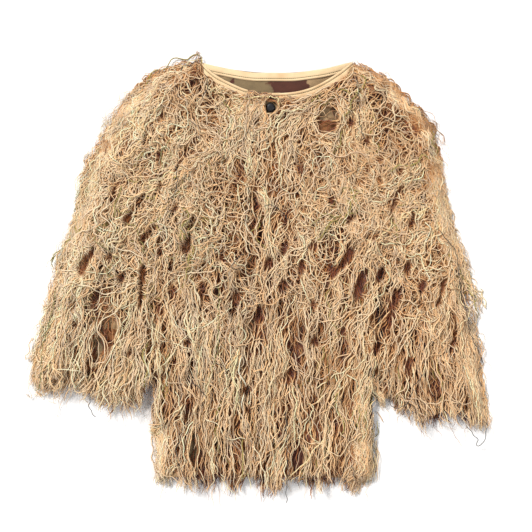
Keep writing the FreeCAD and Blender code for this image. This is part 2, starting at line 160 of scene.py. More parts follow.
def distance_inside(x, y, outline):
    """Distance from the outline, positive inside it."""
    shape = np.shape(x)
    px, py = np.ravel(x)[:, None], np.ravel(y)[:, None]
    a = np.array(outline, float)
    b = np.roll(a, -1, axis=0)
    ex, ey = (b - a).T
    t = np.clip(((px - a[:, 0]) * ex + (py - a[:, 1]) * ey) / (ex**2 + ey**2), 0, 1)
    gap = np.hypot(px - a[:, 0] - t * ex, py - a[:, 1] - t * ey).min(axis=1)
    crosses = (a[:, 1] > py) != (b[:, 1] > py)
    rise = np.where(np.abs(ey) < 1e-12, 1e-12, ey)
    left_of = px < a[:, 0] + (py - a[:, 1]) * ex / rise
    inside = (crosses & left_of).sum(axis=1) % 2 == 1
    return np.where(inside, gap, -gap).reshape(shape)


# -------- mesh making


def mesh_object(name, points, faces, material):
    """faces is an array with one row of point numbers per face, or a list of such arrays."""
    groups = faces if isinstance(faces, list) else [faces]
    mesh = bpy.data.meshes.new(name)
    points = np.asarray(points, np.float32).reshape(-1, 3)
    mesh.vertices.add(len(points))
    mesh.vertices.foreach_set("co", points.ravel())
    corners = np.concatenate([group.ravel() for group in groups])
    sizes = np.concatenate([np.full(len(group), group.shape[1]) for group in groups])
    mesh.loops.add(len(corners))
    mesh.loops.foreach_set("vertex_index", corners.astype(np.int32))
    mesh.polygons.add(len(sizes))
    mesh.polygons.foreach_set("loop_start", (np.cumsum(sizes) - sizes).astype(np.int32))
    mesh.update(calc_edges=True)
    mesh.polygons.foreach_set("use_smooth", np.full(len(sizes), True))
    mesh.materials.append(material)
    piece = bpy.data.objects.new(name, mesh)
    bpy.context.scene.collection.objects.link(piece)
    return piece


def grid_faces(rows, columns, closed=False):
    """Faces of a grid of points stored row by row. When closed, each row's end is joined to its start."""
    row, column = np.meshgrid(np.arange(rows - 1), np.arange(columns - 1 + closed), indexing="ij")
    first, after = row * columns + column, row * columns + (column + 1) % columns
    return np.stack([first, after, after + columns, first + columns], axis=-1).reshape(-1, 4)


def cloth_object(name, points, closed=False):
    """A sheet of camouflage cloth with its thickness, as real geometry. points is rows x columns x 3."""
    material = next(cloth for part, cloth in CAMOUFLAGE.items() if name.startswith(part))
    piece = mesh_object(name, points, grid_faces(*points.shape[:2], closed), material)
    modifier = piece.modifiers.new("thickness", "SOLIDIFY")
    modifier.thickness = CLOTH_THICK
    modifier.offset = 0
    return piece


def tubes(name, paths, radii, tint, sides, material):
    """One mesh of many tubes. paths is strands x points x 3, radii strands x points, tint strands x points x 3."""
    count, steps = radii.shape
    ahead = along(paths)
    across = np.cross(ahead, [0.0, 0.0, 1.0])
    across /= np.linalg.norm(across, axis=2, keepdims=True) + 1e-9
    over = np.cross(across, ahead)
    turn = math.tau * np.arange(sides) / sides
    ring = across[:, :, None] * np.cos(turn)[:, None] + over[:, :, None] * np.sin(turn)[:, None]
    points = paths[:, :, None] + radii[:, :, None, None] * ring
    strand, step, side = np.meshgrid(np.arange(count), np.arange(steps - 1), np.arange(sides), indexing="ij")
    base = (strand * steps + step) * sides
    turned = (side + 1) % sides
    walls = np.stack([base + side, base + turned, base + sides + turned, base + sides + side], axis=-1)
    starts = np.arange(count)[:, None] * steps * sides
    first_cap = starts + np.arange(sides)[::-1]
    last_cap = starts + (steps - 1) * sides + np.arange(sides)
    piece = mesh_object(name, points, [walls.reshape(-1, 4), first_cap, last_cap], material)
    paint(piece, "yarn_tint", np.repeat(tint.reshape(-1, 3), sides, axis=0))
    lay_out_strands(piece, count, steps, sides)
    return piece


def paint(piece, attribute, colours):
    """Stores a linear colour on each point of a piece."""
    layer = piece.data.color_attributes.new(attribute, "FLOAT_COLOR", "POINT")
    four = np.ones((len(colours), 4), np.float32)
    four[:, :3] = colours
    layer.data.foreach_set("color", four.ravel())


def lay_out_strands(piece, count, steps, sides):
    """Gives each strand its own cell of the texture plane, so that the export need not unwrap thousands of tubes.
    A second layer runs round and along each strand, for the twist of its plies."""
    mesh = piece.data
    corners = np.zeros(len(mesh.loops), np.int32)
    mesh.loops.foreach_get("vertex_index", corners)
    wall_corners = count * (steps - 1) * sides * 4
    columns = math.ceil(math.sqrt(count))
    strand, rest = np.divmod(corners, steps * sides)
    step, side = np.divmod(rest, sides)
    side = side.astype(float)
    # The last wall of each ring closes it, so its second edge is a full turn.
    quad = np.arange(wall_corners) % 4
    wall = (np.arange(wall_corners) // 4) % sides
    closing = (wall == sides - 1) & ((quad == 1) | (quad == 2))
    side[:wall_corners][closing] = sides
    margin = 0.12
    u = (strand % columns + margin + (1 - 2 * margin) * side / sides) / columns
    v = (strand // columns + margin + (1 - 2 * margin) * step / (steps - 1)) / columns
    for layer_name, x, y in (("OFBake", u, v), ("twist", side / sides, step.astype(float))):
        layer = mesh.uv_layers.new(name=layer_name)
        layer.data.foreach_set("uv", np.stack([x, y], axis=1).astype(np.float32).ravel())


# -------- materials


class Nodes:
    """A material's node tree, with short calls for adding and joining nodes."""

    def __init__(self, name, roughness):
        self.material = bpy.data.materials.new(name)
        self.material.use_nodes = True
        self.tree = self.material.node_tree
        self.shader = self.put(self.tree.nodes["Principled BSDF"], Roughness=roughness)

    def put(self, node, **settings):
        """Sets a node's properties, and its inputs to values or other nodes' outputs. _ stands for a space."""
        for name, value in settings.items():
            if hasattr(node, name):
                setattr(node, name, value)
            else:
                self.feed(node.inputs[name.replace("_", " ")], value)
        return node

    def feed(self, socket, value):
        if isinstance(value, bpy.types.NodeSocket):
            self.tree.links.new(value, socket)
        else:
            socket.default_value = value

    def add(self, kind, **settings):
        return self.put(self.tree.nodes.new("ShaderNode" + kind), **settings)

    def object_place(self, scale=(1, 1, 1), rotation=0.0):
        place = self.add("TexCoord").outputs["Object"]
        return self.add("Mapping", Scale=scale, Rotation=(0, 0, rotation), Vector=place).outputs["Vector"]

    def noise(self, place, scale, detail, roughness=0.5, distortion=0.0):
        settings = {"Scale": scale, "Detail": detail, "Roughness": roughness, "Distortion": distortion}
        return self.add("TexNoise", Vector=place, **settings).outputs["Fac"]

    def ramp(self, value, stops):
        """Colours for a value. Each stop is a position and a colour, or a number for a grey."""
        node = self.add("ValToRGB", Fac=value)
        elements = node.color_ramp.elements
        while len(elements) < len(stops):
            elements.new(1.0)
        for element, (position, colour) in zip(elements, stops):
            element.position = position
            element.color = (*(colour if isinstance(colour, tuple) else (colour,) * 3), 1.0)
        return node.outputs["Color"]

    def mix(self, share, first, second, blend="MIX"):
        """share is a number or a socket. first and second are colours or sockets."""
        node = self.add("Mix", data_type="RGBA", blend_type=blend)
        for index, value in ((0, share), (6, first), (7, second)):
            self.feed(node.inputs[index], (*value, 1.0) if isinstance(value, tuple) else value)
        return node.outputs[2]

    def times(self, first, second):
        return self.mix(1.0, first, second, "MULTIPLY")

    def bump(self, height, strength, distance, **under):
        return self.add("Bump", Strength=strength, Distance=distance, Height=height, **under).outputs["Normal"]

    def finish(self, colour, normal, **settings):
        self.put(self.shader, Base_Color=colour, Normal=normal, **settings)
        return self.material


def weave_height(nodes, pitch, rotation=0.0):
    """Two crossed sets of fine ribs, as of a twill, with the given spacing."""
    ribs = {"wave_type": "BANDS", "Scale": math.tau / (pitch * 20), "Distortion": 0.6, "Detail": 1.0}
    place = nodes.object_place(rotation=rotation)
    waves = [nodes.add("TexWave", bands_direction=way, Vector=place, **ribs).outputs["Fac"] for way in ("X", "Y")]
    return nodes.mix(0.5, *waves)


TAN = (0.500, 0.330, 0.170)
OLIVE_TAN = (0.270, 0.190, 0.095)
ORANGE_BROWN = (0.330, 0.135, 0.045)
RED_BROWN = (0.105, 0.030, 0.016)


def camouflage(name, shift, blobs=(), darker=1.0):
    """Printed twill: four colours in large soft-edged blobs that run along X, over a fine diagonal weave. blobs are
    those in set places: middle and half sizes along X and Y, and colour."""
    nodes = Nodes(name, 0.88)
    place = nodes.add("Mapping", Location=shift, Vector=nodes.object_place(scale=(0.7, 1.25, 1.0))).outputs["Vector"]
    colour = nodes.ramp(
        nodes.noise(place, 11, detail=2.0, distortion=0.7),
        [(0.0, OLIVE_TAN), (0.47, OLIVE_TAN), (0.485, TAN), (1.0, TAN)],
    )
    for scale, tone, edge in ((15, ORANGE_BROWN, 0.53), (12, RED_BROWN, 0.56)):
        mask = nodes.ramp(nodes.noise(place, scale, detail=2.5, distortion=0.9), [(edge, 0), (edge + 0.02, 1)])
        colour = nodes.mix(mask, colour, tone)
        place = nodes.object_place(scale=(0.8, 1.4, 1.0), rotation=0.5)
    ragged = nodes.noise(nodes.object_place(), 55, detail=2.0)
    for x, y, half_x, half_y, tone in blobs:
        near = nodes.add("Mapping", vector_type="TEXTURE", Location=(x, y, 0), Scale=(2 * half_x, 2 * half_y, 1000))
        nodes.put(near, Vector=nodes.object_place())
        reach = nodes.add("VectorMath", operation="LENGTH")
        nodes.feed(reach.inputs[0], near.outputs["Vector"])
        edge = nodes.add("Math", operation="MULTIPLY_ADD")
        for socket, value in zip(edge.inputs, (ragged, 0.5, reach.outputs["Value"])):
            nodes.feed(socket, value)
        colour = nodes.mix(nodes.ramp(edge.outputs["Value"], [(0.74, 1), (0.77, 0)]), colour, tone)
    colour = nodes.times(colour, nodes.ramp(nodes.noise(place, 60, detail=6), [(0.3, 0.72), (0.75, 1.12)]))
    weave = weave_height(nodes, 0.9 * MM, math.radians(38))
    # Painted shade: the weave's grooves are darker than its ribs.
    colour = nodes.times(colour, nodes.ramp(weave, [(0.2, 0.80 * darker), (0.8, 1.06 * darker)]))
    creases = nodes.bump(nodes.noise(place, 28, detail=4), 0.35, 2 * MM)
    return nodes.finish(colour, nodes.bump(weave, 0.5, 0.25 * MM, Normal=creases), Sheen_Weight=0.15)


def yarn():
    """Soft spun yarn: the tint of each strand, with its painted depth shade, is in its mesh, and fibre flecks and ply
    twist come on top.
    """
    nodes = Nodes("yarn", 0.92)
    tint = nodes.add("Attribute", attribute_name="yarn_tint").outputs["Color"]
    flecks = nodes.noise(nodes.object_place(), 420, detail=4)
    colour = nodes.times(tint, nodes.ramp(flecks, [(0.25, 0.80), (0.75, 1.12)]))
    twist = nodes.add("UVMap", uv_map="twist").outputs["UV"]
    turned = nodes.add("Mapping", Scale=(2.0, 2.6, 1.0), Vector=twist).outputs["Vector"]
    plies = nodes.add("TexWave", wave_type="BANDS", bands_direction="DIAGONAL", Scale=0.6, Vector=turned)
    normal = nodes.bump(plies.outputs["Fac"], 0.45, 0.3 * MM)
    return nodes.finish(colour, normal, Sheen_Weight=0.25, Sheen_Roughness=0.5)


def woven_tape(name, light, dark):
    """Cotton tape with ribs across it, painted shade between the ribs, and a little soiling."""
    nodes = Nodes(name, 0.85)
    place = nodes.object_place()
    soil = nodes.ramp(nodes.noise(place, 35, detail=5), [(0.3, dark), (0.62, light)])
    ribs = weave_height(nodes, 1.1 * MM)
    # Painted shade: the grooves between the ribs are darker.
    colour = nodes.times(soil, nodes.ramp(ribs, [(0.2, 0.86), (0.8, 1.05)]))
    lumps = nodes.bump(nodes.noise(place, 90, detail=3), 0.3, 1.2 * MM)
    return nodes.finish(colour, nodes.bump(ribs, 0.5, 0.25 * MM, Normal=lumps), Sheen_Weight=0.15)


def thread(name, colour):
    nodes = Nodes(name, 0.7)
    wave = nodes.add("TexWave", wave_type="BANDS", Scale=420, Vector=nodes.object_place(rotation=0.6)).outputs["Fac"]
    # Painted highlight: the raised bands of the twist are up to 1.5 times lighter than the thread's colour.
    light = tuple(min(1.0, 1.5 * value) for value in colour)
    return nodes.finish(nodes.ramp(wave, [(0.2, colour), (0.9, light)]), nodes.bump(wave, 0.4, 0.15 * MM))


def metal(name, base, worn, metallic, roughness, coat):
    """Painted or plated metal, worn through in small spots, with a lightly orange-peeled surface."""
    nodes = Nodes(name, roughness)
    place = nodes.object_place()
    colour = nodes.ramp(nodes.noise(place, 900, detail=6, roughness=0.7), [(0.62, base), (0.78, worn)])
    rough = nodes.ramp(nodes.noise(place, 500, detail=3), [(0.3, roughness), (0.8, roughness + 0.2)])
    normal = nodes.bump(nodes.noise(place, 1500, detail=2), 0.12, 0.1 * MM)
    return nodes.finish(colour, normal, Roughness=rough, Metallic=metallic, Coat_Weight=coat)


YARN = yarn()
FRONT_BLOBS = [
    (0.117, 0.292, 0.030, 0.022, TAN),
    (0.120, 0.260, 0.026, 0.016, ORANGE_BROWN),
    (0.195, 0.314, 0.020, 0.018, RED_BROWN),
    (0.222, 0.306, 0.020, 0.018, ORANGE_BROWN),
    (0.176, -0.250, 0.034, 0.095, RED_BROWN),
    (0.067, -0.316, 0.030, 0.030, RED_BROWN),
    (-0.118, -0.300, 0.020, 0.034, OLIVE_TAN),
    (-0.130, -0.240, 0.018, 0.028, ORANGE_BROWN),
    (0.000, 0.080, 0.020, 0.055, RED_BROWN),
]
BACK_BLOBS = [
    (-0.020, 0.338, 0.032, 0.030, OLIVE_TAN),
    (0.050, 0.338, 0.036, 0.026, RED_BROWN),
    (0.112, 0.348, 0.028, 0.026, TAN),
]
SLEEVE_BLOBS = [
    (-0.266, -0.080, 0.013, 0.013, TAN),
    (-0.268, -0.101, 0.016, 0.010, ORANGE_BROWN),
    (-0.284, -0.116, 0.013, 0.016, OLIVE_TAN),
    (-0.289, -0.090, 0.010, 0.012, RED_BROWN),
    (-0.303, -0.150, 0.014, 0.024, ORANGE_BROWN),
    (-0.222, 0.004, 0.020, 0.012, ORANGE_BROWN),
    (0.304, -0.198, 0.026, 0.030, RED_BROWN),
]
CAMOUFLAGE = {
    "front": camouflage("camouflage_front", (0.31, 0.12, 0.0), FRONT_BLOBS),
    "back": camouflage("camouflage_back", (0.72, 0.95, 0.0), BACK_BLOBS, darker=0.9),
    "sleeve": camouflage("camouflage_sleeves", (0.05, 0.41, 0.0), SLEEVE_BLOBS),
}
TAPE = woven_tape("neck_tape", (0.88, 0.67, 0.40), (0.74, 0.50, 0.27))
STITCH = thread("green_stitching", (0.055, 0.060, 0.020))
ELASTIC = woven_tape("elastic", (0.36, 0.29, 0.20), (0.26, 0.20, 0.13))
CAP_METAL = metal("snap_cap", (0.006, 0.006, 0.008), (0.03, 0.026, 0.022), 0.3, 0.38, 0.3)
SNAP_METAL = metal("snap_metal", (0.42, 0.33, 0.17), (0.25, 0.18, 0.10), 1.0, 0.35, 0.0)

# -------- outlines


def on_head(side, way, degrees):
    """Points on the sleeve head's circle: on its outer half where way is 1, and facing the torso where it is -1."""
    turns = np.radians(degrees)
    return PIVOT[side] + HEAD_R * np.stack([way * OUT[side] * np.cos(turns), np.sin(turns)], axis=1)


def torso_side(side):
    """From the neck point over the shoulder and round the armhole to the hem, on one side."""
    shoulder = [(NECK_X[side], TOP_Y), (SIDE_X[side], SHOULDER_Y)]
    return [*shoulder, *map(tuple, on_head(side, -1, np.linspace(90, -90, 10))), (HEM_X[side], HEM_Y)]


NECKLINE = [(x, neckline_y(x, "front")) for x in np.linspace(NECK_X["right"], NECK_X["left"], 17)[1:-1]]
TORSO_FRONT = torso_side("right") + torso_side("left")[::-1] + NECKLINE[::-1]


def sleeve_outline(side):
    """The sleeve's cloth, from the shoulder seam to the cuff."""
    armpit = (SIDE_X[side] + OUT[side] * 2.5 * MM, ARMPIT_Y - 4 * MM)
    crown, inside = on_head(side, 1, np.linspace(100, -5, 7)), on_head(side, -1, np.linspace(-90, 90, 10))
    return [*crown, CUFF_OUT[side], CUFF_IN[side], armpit, *inside]


# -------- cloth

SEEDS = {"right": (11, 13), "left": (12, 14), "back": (21, 22)}
FOLDS = {name: Ripples(seed, 0.15) for name, (seed, _) in SEEDS.items()}
WRINKLES = {name: Ripples(seed, 0.045) for name, (_, seed) in SEEDS.items()}


CLOTH_ROWS = np.linspace(HEM_Y, TOP_Y, 118)


def outer_x(side, y):
    """Where the torso's cloth ends on one side, at each height along Y."""
    outer = np.interp(y, [HEM_Y, ARMPIT_Y], [HEM_X[side], SIDE_X[side]])
    rise = y - PIVOT[side][1]
    curve = PIVOT[side][0] - OUT[side] * np.sqrt(np.maximum(HEAD_R**2 - rise**2, 0))
    outer = np.where(np.abs(rise) < HEAD_R, curve, outer)
    slope = np.interp(y, [SHOULDER_Y, TOP_Y], [SIDE_X[side], NECK_X[side]])
    return np.where(y > SHOULDER_Y, slope, outer)


def side_distance(side, x, y):
    """Distance in from the side, armhole and shoulder of the torso. The hem and neckline don't count as edges."""
    far = 1.0
    outline = [(NECK_X[side], TOP_Y + far)] + torso_side(side)
    outline += [(HEM_X[side], HEM_Y - far), (-OUT[side] * far, HEM_Y - far), (-OUT[side] * far, TOP_Y + far)]
    return distance_inside(x, y, outline)


def front_z(side, x, y):
    """The middle of the front's cloth: it leaves the back at the side, and lies nearly flat from there."""
    edge_z = BACK_Z + 0.8 * MM
    flat_z = CLOTH_Z[side] - 0.5 * MM + MM * FOLDS[side](x, y) + 0.35 * MM * WRINKLES[side](x, y)
    return edge_z + (flat_z - edge_z) * smooth_step(side_distance(side, x, y), -2 * MM, 26 * MM) ** 0.7


def torso_cloth(name, edges, columns, neckline, squeezed, z_of):
    """A cloth whose rows run from edge to edge. Those above squeezed are pressed down onto the neckline."""
    x = edges[0][:, None] + np.linspace(0, 1, columns) * (edges[1] - edges[0])[:, None]
    y = np.repeat(CLOTH_ROWS[:, None], columns, axis=1)
    limit = np.minimum(neckline_y(x, neckline), TOP_Y)
    y = np.where(y > squeezed, squeezed + (y - squeezed) * (limit - squeezed) / (TOP_Y - squeezed), y)
    return cloth_object(name, np.stack([x, y, z_of(x, y)], axis=-1))


def front_cloth(side):
    """One front of the jacket, from its side seam to its front edge, with the shoulder and neckline."""
    # The left front's edge draws back a little at the top press stud, and its corner is rounded.
    drawn_back = (5 * smooth_step(CLOTH_ROWS, 0.22, 0.30) + 9 * smooth_step(CLOTH_ROWS, 0.306, 0.325)) * MM
    edge_x = LAP_X + 0 * CLOTH_ROWS if side == "right" else drawn_back
    edges, squeezed = (outer_x(side, CLOTH_ROWS), edge_x), neckline_y(NECK_MID, "front") - 60 * MM
    return torso_cloth(f"front_cloth_{side}", edges, 44, "front", squeezed, lambda x, y: front_z(side, x, y))


def back_z(x, y):
    return BACK_Z - 0.3 * MM + 0.5 * MM * FOLDS["back"](x, y) + 0.25 * MM * WRINKLES["back"](x, y)


def back_cloth():
    edges = [outer_x(side, CLOTH_ROWS) for side in SIDES]
    return torso_cloth("back_cloth", edges, 70, "back", TOP_Y - 80 * MM, back_z)


def sleeve_cloth(side):
    """A flattened tube from the sleeve head to the cuff. Each of its rows runs round the sleeve."""
    rows, columns, head_share, last = 84, 56, 0.34, 88
    t = np.linspace(0, 1, rows)
    head = (t <= head_share)[:, None]
    down = np.clip((t - head_share) / (1 - head_share), 0, 1)[:, None]
    # The inner edge goes round the armhole and then down to the cuff, while the outer one goes over the shoulder.
    inner = on_head(side, -1, np.interp(t, [0, head_share], [84, -last]))
    armpit = on_head(side, -1, [-last])
    inner = np.where(head, inner, armpit + down * (CUFF_IN[side] - armpit))
    degrees = np.interp(t, [0, head_share], [84, 0])
    # The right sleeve's head lies a little folded in at its crown.
    crown = (1 - {"right": 0.16, "left": 0.02}[side] * np.sin(2 * np.radians(degrees)))[:, None]
    outer = PIVOT[side] + crown * (on_head(side, 1, degrees) - PIVOT[side])
    elbow = on_head(side, 1, [0])
    outer = np.where(head, outer, elbow + down * (CUFF_OUT[side] - elbow))
    turn = math.tau * np.arange(columns) / columns
    across = (0.5 - 0.5 * np.cos(turn))[:, None]
    flat = inner[:, None] * (1 - across) + outer[:, None] * across
    rng = default_rng({"right": 31, "left": 32}[side])
    folds, wrinkles = Ripples(rng, 0.12), Ripples(rng, 0.04)
    lift = 0.9 * MM * folds(flat[..., 0], flat[..., 1]) + 0.3 * MM * wrinkles(flat[..., 0], flat[..., 1])
    round_over = np.sign(np.sin(turn)) * np.abs(np.sin(turn)) ** 0.45
    z = (SLEEVE_Z + BACK_Z) / 2 + (SLEEVE_Z - BACK_Z) / 2 * round_over[None, :] + lift * (np.sin(turn) > 0)
    return cloth_object(f"sleeve_cloth_{side}", np.concatenate([flat, z[..., None]], axis=-1), closed=True)


# -------- strips: hems, plackets, seams, elastic, tapes


def strip_mesh(name, line, profile, material):
    """A long strip. line is its middle, and profile the closed outline of its section, or one for each point."""
    ahead = along(line)
    across = np.stack([-ahead[:, 1], ahead[:, 0], np.zeros(len(line))], axis=1)
    across /= np.linalg.norm(across, axis=1, keepdims=True)
    profile = np.asarray(profile)
    if profile.ndim == 2:
        profile = np.repeat(profile[None], len(line), axis=0)
    up = np.array([0.0, 0.0, 1.0])
    points = line[:, None] + across[:, None] * profile[..., :1] + up * profile[..., 1:]
    count, around = len(line), profile.shape[1]
    caps = [np.arange(around)[None, ::-1], (count - 1) * around + np.arange(around)[None, :]]
    return mesh_object(name, points, [grid_faces(count, around, closed=True), *caps], material)


def rounded_section(width, thickness, around=16):
    turn = math.tau * (np.arange(around) + 0.5) / around
    x = np.sign(np.cos(turn)) * np.abs(np.cos(turn)) ** 0.35
    y = np.sign(np.sin(turn)) * np.abs(np.sin(turn)) ** 0.6
    return np.stack([x * width / 2, y * thickness / 2], axis=1)


def strip_for(node, material, seed, sunk):
    """A soft strip in the place of a straight CAD strip, or sunk below it, with slightly wavy edges."""
    points = node_points(node)
    middle = (points.max(axis=0) + points.min(axis=0)) / 2
    flat = points[:, :2] - points[:, :2].mean(axis=0)
    direction = np.linalg.svd(flat, full_matrices=False)[2][0]
    normal = np.array([-direction[1], direction[0]])
    reach, spread = flat @ direction, flat @ normal
    count = max(12, int((reach.max() - reach.min()) / (6 * MM)))
    t = np.linspace(reach.min(), reach.max(), count)
    line = np.zeros((count, 3))
    line[:, :2] = points[:, :2].mean(axis=0) + t[:, None] * direction
    line[:, :2] += (spread.max() + spread.min()) / 2 * normal
    wave = Ripples(seed, 0.05)
    line[:, :2] += 0.5 * MM * wave(line[:, 0], line[:, 1])[:, None] * normal
    line[:, 2] = middle[2] - sunk
    thickness = points[:, 2].max() - points[:, 2].min()
    widths = (spread.max() - spread.min()) * (1 + 0.04 * wave(line[:, 1], line[:, 0]))
    sections = np.stack([rounded_section(width, thickness) for width in widths])
    return strip_mesh(f"{node}_strip", line, sections, material)


def stitches(name, line, length, gap, radius):
    """A row of short rounded stitches along a line."""
    run = run_of(line)
    starts = np.arange(gap / 2, run[-1] - length, length + gap)
    t = np.linspace(0, 1, 6)
    at = starts[:, None] + t[None, :] * length
    path = np.stack([np.interp(at, run, line[:, axis]) for axis in range(3)], axis=-1)
    path[..., 2] += 0.9 * radius * (1 - (2 * t - 1) ** 2)[None, :] - 0.35 * radius
    thickness = radius * (0.55 + 0.45 * (1 - (2 * t - 1) ** 4))[None, :] * np.ones_like(at)
    return tubes(name, path, thickness, np.ones((*at.shape, 3)), 6, STITCH)


def tape_section(lip_first):
    """The section of a folded neck tape: a round lip, a stitched groove and a flat part. The lip is on the neck's
    side when lip_first. Across runs from 0 at the neck's edge to minus the width."""
    across = np.array([0, 0.3, 1.2, 2.2, 3.2, 4.0, 4.5, 5.2, 6.0, 7.5, 10, 12.5, 14.2, 15.0]) * MM
    rise = np.array([0.5, 1.6, 2.5, 2.75, 2.5, 1.7, 1.2, 1.25, 1.8, 2.05, 2.0, 1.95, 1.7, 0.7]) * MM
    if not lip_first:
        across = (TAPE_WIDTH - across)[::-1]
        rise = rise[::-1]
    top = np.stack([-across, rise], axis=1)
    under = np.stack([-across[::-1], np.full(len(across), 0.1 * MM)], axis=1)
    return np.concatenate([top, under])


def neck_tape(name, which, start_x, end_x, z_of, seed):
    """A strip along a neckline between two places on X, with its own green stitching: (tape, stitching)."""
    x = np.linspace(start_x, end_x, 90)
    y = neckline_y(x, which)
    line = np.stack([x, y, z_of(x, y)], axis=1)
    wave = Ripples(seed, 0.06)
    line[:, 1] += 0.5 * MM * wave(line[:, 0], line[:, 1])
    line[:, 2] += 0.4 * MM * wave(line[:, 0] + 1, line[:, 1])
    lip_first = which == "front"
    tape = strip_mesh(name, line, tape_section(lip_first), TAPE)
    groove = 4.9 * MM if lip_first else TAPE_WIDTH - 4.9 * MM
    ahead = along(line)
    under = line + np.stack([ahead[:, 1] * groove, -ahead[:, 0] * groove, np.full(len(line), 1.35 * MM)], axis=1)
    sewn = stitches(f"{name}_stitches", under, length=2.9 * MM, gap=0.5 * MM, radius=0.5 * MM)
    return tape, sewn


# -------- yarn


class Field:
    """Values kept on a fine grid over the plane, and read between its points."""

    STEP, REACH = 4 * MM, 0.47

    def __init__(self, function):
        axis = np.arange(-self.REACH, self.REACH + self.STEP, self.STEP)
        self.values = function(*np.meshgrid(axis, axis, indexing="ij"))

    def __call__(self, x, y):
        top = len(self.values) - 1.001
        u, v = (np.clip((place + self.REACH) / self.STEP, 0, top) for place in (x, y))
        i, j = u.astype(int), v.astype(int)
        u, v, values = u - i, v - j, self.values
        lower = values[i, j] * (1 - u) + values[i + 1, j] * u
        upper = values[i, j + 1] * (1 - u) + values[i + 1, j + 1] * u
        return lower * (1 - v) + upper * v


TORSO_IN = Field(lambda x, y: distance_inside(x, y, TORSO_FRONT))
SLEEVE_IN = {side: Field(lambda x, y, side=side: distance_inside(x, y, sleeve_outline(side))) for side in SIDES}


def to_left(x):
    """-1 on the right sleeve to 1 on the left one."""
    return np.clip((x - 10 * MM) / 0.22, -1, 1)


def cloth_top(x, y):
    """The top of the cloth under the yarn, and the floor round it."""
    front = np.where(x < 0, CLOTH_Z["right"], CLOTH_Z["left"]) + MM
    level = front * smooth_step(TORSO_IN(x, y), -16 * MM, 8 * MM)
    for side in SIDES:
        level = np.maximum(level, (SLEEVE_Z + MM) * smooth_step(SLEEVE_IN[side](x, y), -16 * MM, 8 * MM))
    return level


# How far the yarn spreads: from the neck round each sleeve to the armpit, and down the side to the hem, in mm.
SPREAD = {
    "right": [(-104, 388), (-156, 366), (-200, 340), (-236, 306), (-256, 262), (-292, 205), (-312, 140), (-328, 78)]
    + [(-356, 22), (-370, -45), (-386, -105), (-402, -150), (-400, -205), (-310, -262), (-205, -275), (-180, -280)]
    + [(-178, -330), (-168, -425)],
    "left": [(150, 384), (174, 364), (222, 342), (258, 302), (290, 266), (311, 205), (317, 135), (336, 72)]
    + [(354, 15), (380, -35), (385, -64), (381, -94), (384, -150), (392, -225), (398, -255), (396, -300), (300, -310)]
    + [(262, -290), (244, -270), (228, -246), (212, -222), (192, -200), (178, -240), (178, -300), (184, -332)]
    + [(168, -425)],
}
YARN_OUTLINE = [(x * MM, y * MM) for x, y in SPREAD["right"] + SPREAD["left"][::-1]]
YARN_IN = Field(lambda x, y: distance_inside(x, y, YARN_OUTLINE))


def yarn_top(x, y):
    """The highest that yarn lies. It falls away towards the edges, and towards the hem and the cuffs."""
    on_sleeve = smooth_step(np.maximum(SLEEVE_IN["right"](x, y), SLEEVE_IN["left"](x, y)), -10 * MM, 30 * MM)
    level = MAT_TOP + (SLEEVE_MAT_TOP - MAT_TOP) * on_sleeve
    return np.maximum(level * smooth_step(YARN_IN(x, y), -14 * MM, 46 * MM) ** 0.8, 6 * MM)


GROUND, CEILING = Field(cloth_top), Field(yarn_top)
BARE = [  # where the cloth shows: middle and half sizes along X and Y, and how clear it is of yarn, from 0 to 1
    (0.117, 0.276, 0.019, 0.026, 0.3),
    (0.205, 0.311, 0.021, 0.013, 0.3),
    (-0.268, -0.092, 0.016, 0.021, 0.6),
    (-0.286, -0.122, 0.013, 0.019, 0.6),
    (-0.303, -0.156, 0.005, 0.022, 0.4),
    (-0.222, 0.004, 0.009, 0.005, 0.4),
    (0.067, -0.316, 0.014, 0.013, 0.2),
    (-0.118, -0.300, 0.008, 0.020, 0.2),
    (-0.130, -0.240, 0.007, 0.014, 0.1),
    (0.304, -0.198, 0.012, 0.014, 0.0),
    (0.001, 0.078, 0.006, 0.040, 0.3),
    (0.007, 0.288, 0.003, 0.020, 0.3),
    (0.071, -0.093, 0.006, 0.018, 0.1),
    (0.174, -0.012, 0.006, 0.022, 0.3),
]
STUD = (SNAP_X, SNAP_FIRST_Y - 1.2 * MM, 1.35 * CAP_R, 1.35 * CAP_R, 1.0)


def curliness(x, y):
    """0 where the yarn hangs straight, 1 where it lies in loops and curls."""
    on_sleeve = smooth_step(np.abs(x - 8 * MM), 0.17, 0.22)
    start = -80 * MM + 10 * MM * on_sleeve
    end = 130 * MM - 60 * MM * on_sleeve
    at_side = 0.40 * smooth_step(-np.abs(np.abs(x - 5 * MM) - 0.165), -0.035, 0.0) * smooth_step(-y, 0.12, 0.20)
    combed = 0.5 * np.exp(-(((x - 25 * MM) / 0.06) ** 2)) * smooth_step(y, 0.06, 0.16)
    return (0.08 + at_side + 0.82 * smooth_step(y, start, end)) * (1 - combed)


def lean(x, y):
    """How far from straight down yarn hangs, in radians, positive towards +X. Near a shoulder it lies along it."""
    turn = np.zeros(np.shape(x))
    for side, most in (("right", 0.27), ("left", 0.20)):
        reach = (x - PIVOT[side][0]) * OUT[side]
        turn = turn + OUT[side] * most * smooth_step(reach, 0.0, 0.14)
    near_edge = smooth_step(-YARN_IN(x, y), -60 * MM, -8 * MM) * smooth_step(y, 0.20, 0.33)
    turn = turn - 0.65 * np.exp(-(((x - 0.050) / 0.048) ** 2)) * smooth_step(y, 0.22, 0.30)
    return turn + (0.2 * smooth_step(y, 0.20, 0.36) + 0.40 * near_edge) * np.clip((x - NECK_MID) / 0.12, -1, 1)


# Where the yarn of each sleeve ends: places along X and how far down it reaches there.
SLEEVE_END = {
    "right": ((-0.405, -0.190), (-0.335, -0.196), (-0.300, -0.208), (-0.285, -0.230), (-0.212, -0.224))
    + ((-0.198, -0.180), (-0.170, -0.168)),
    "left": ((0.188, -0.172), (0.202, -0.182), (0.218, -0.218), (0.262, -0.238), (0.290, -0.254), (0.400, -0.254)),
}


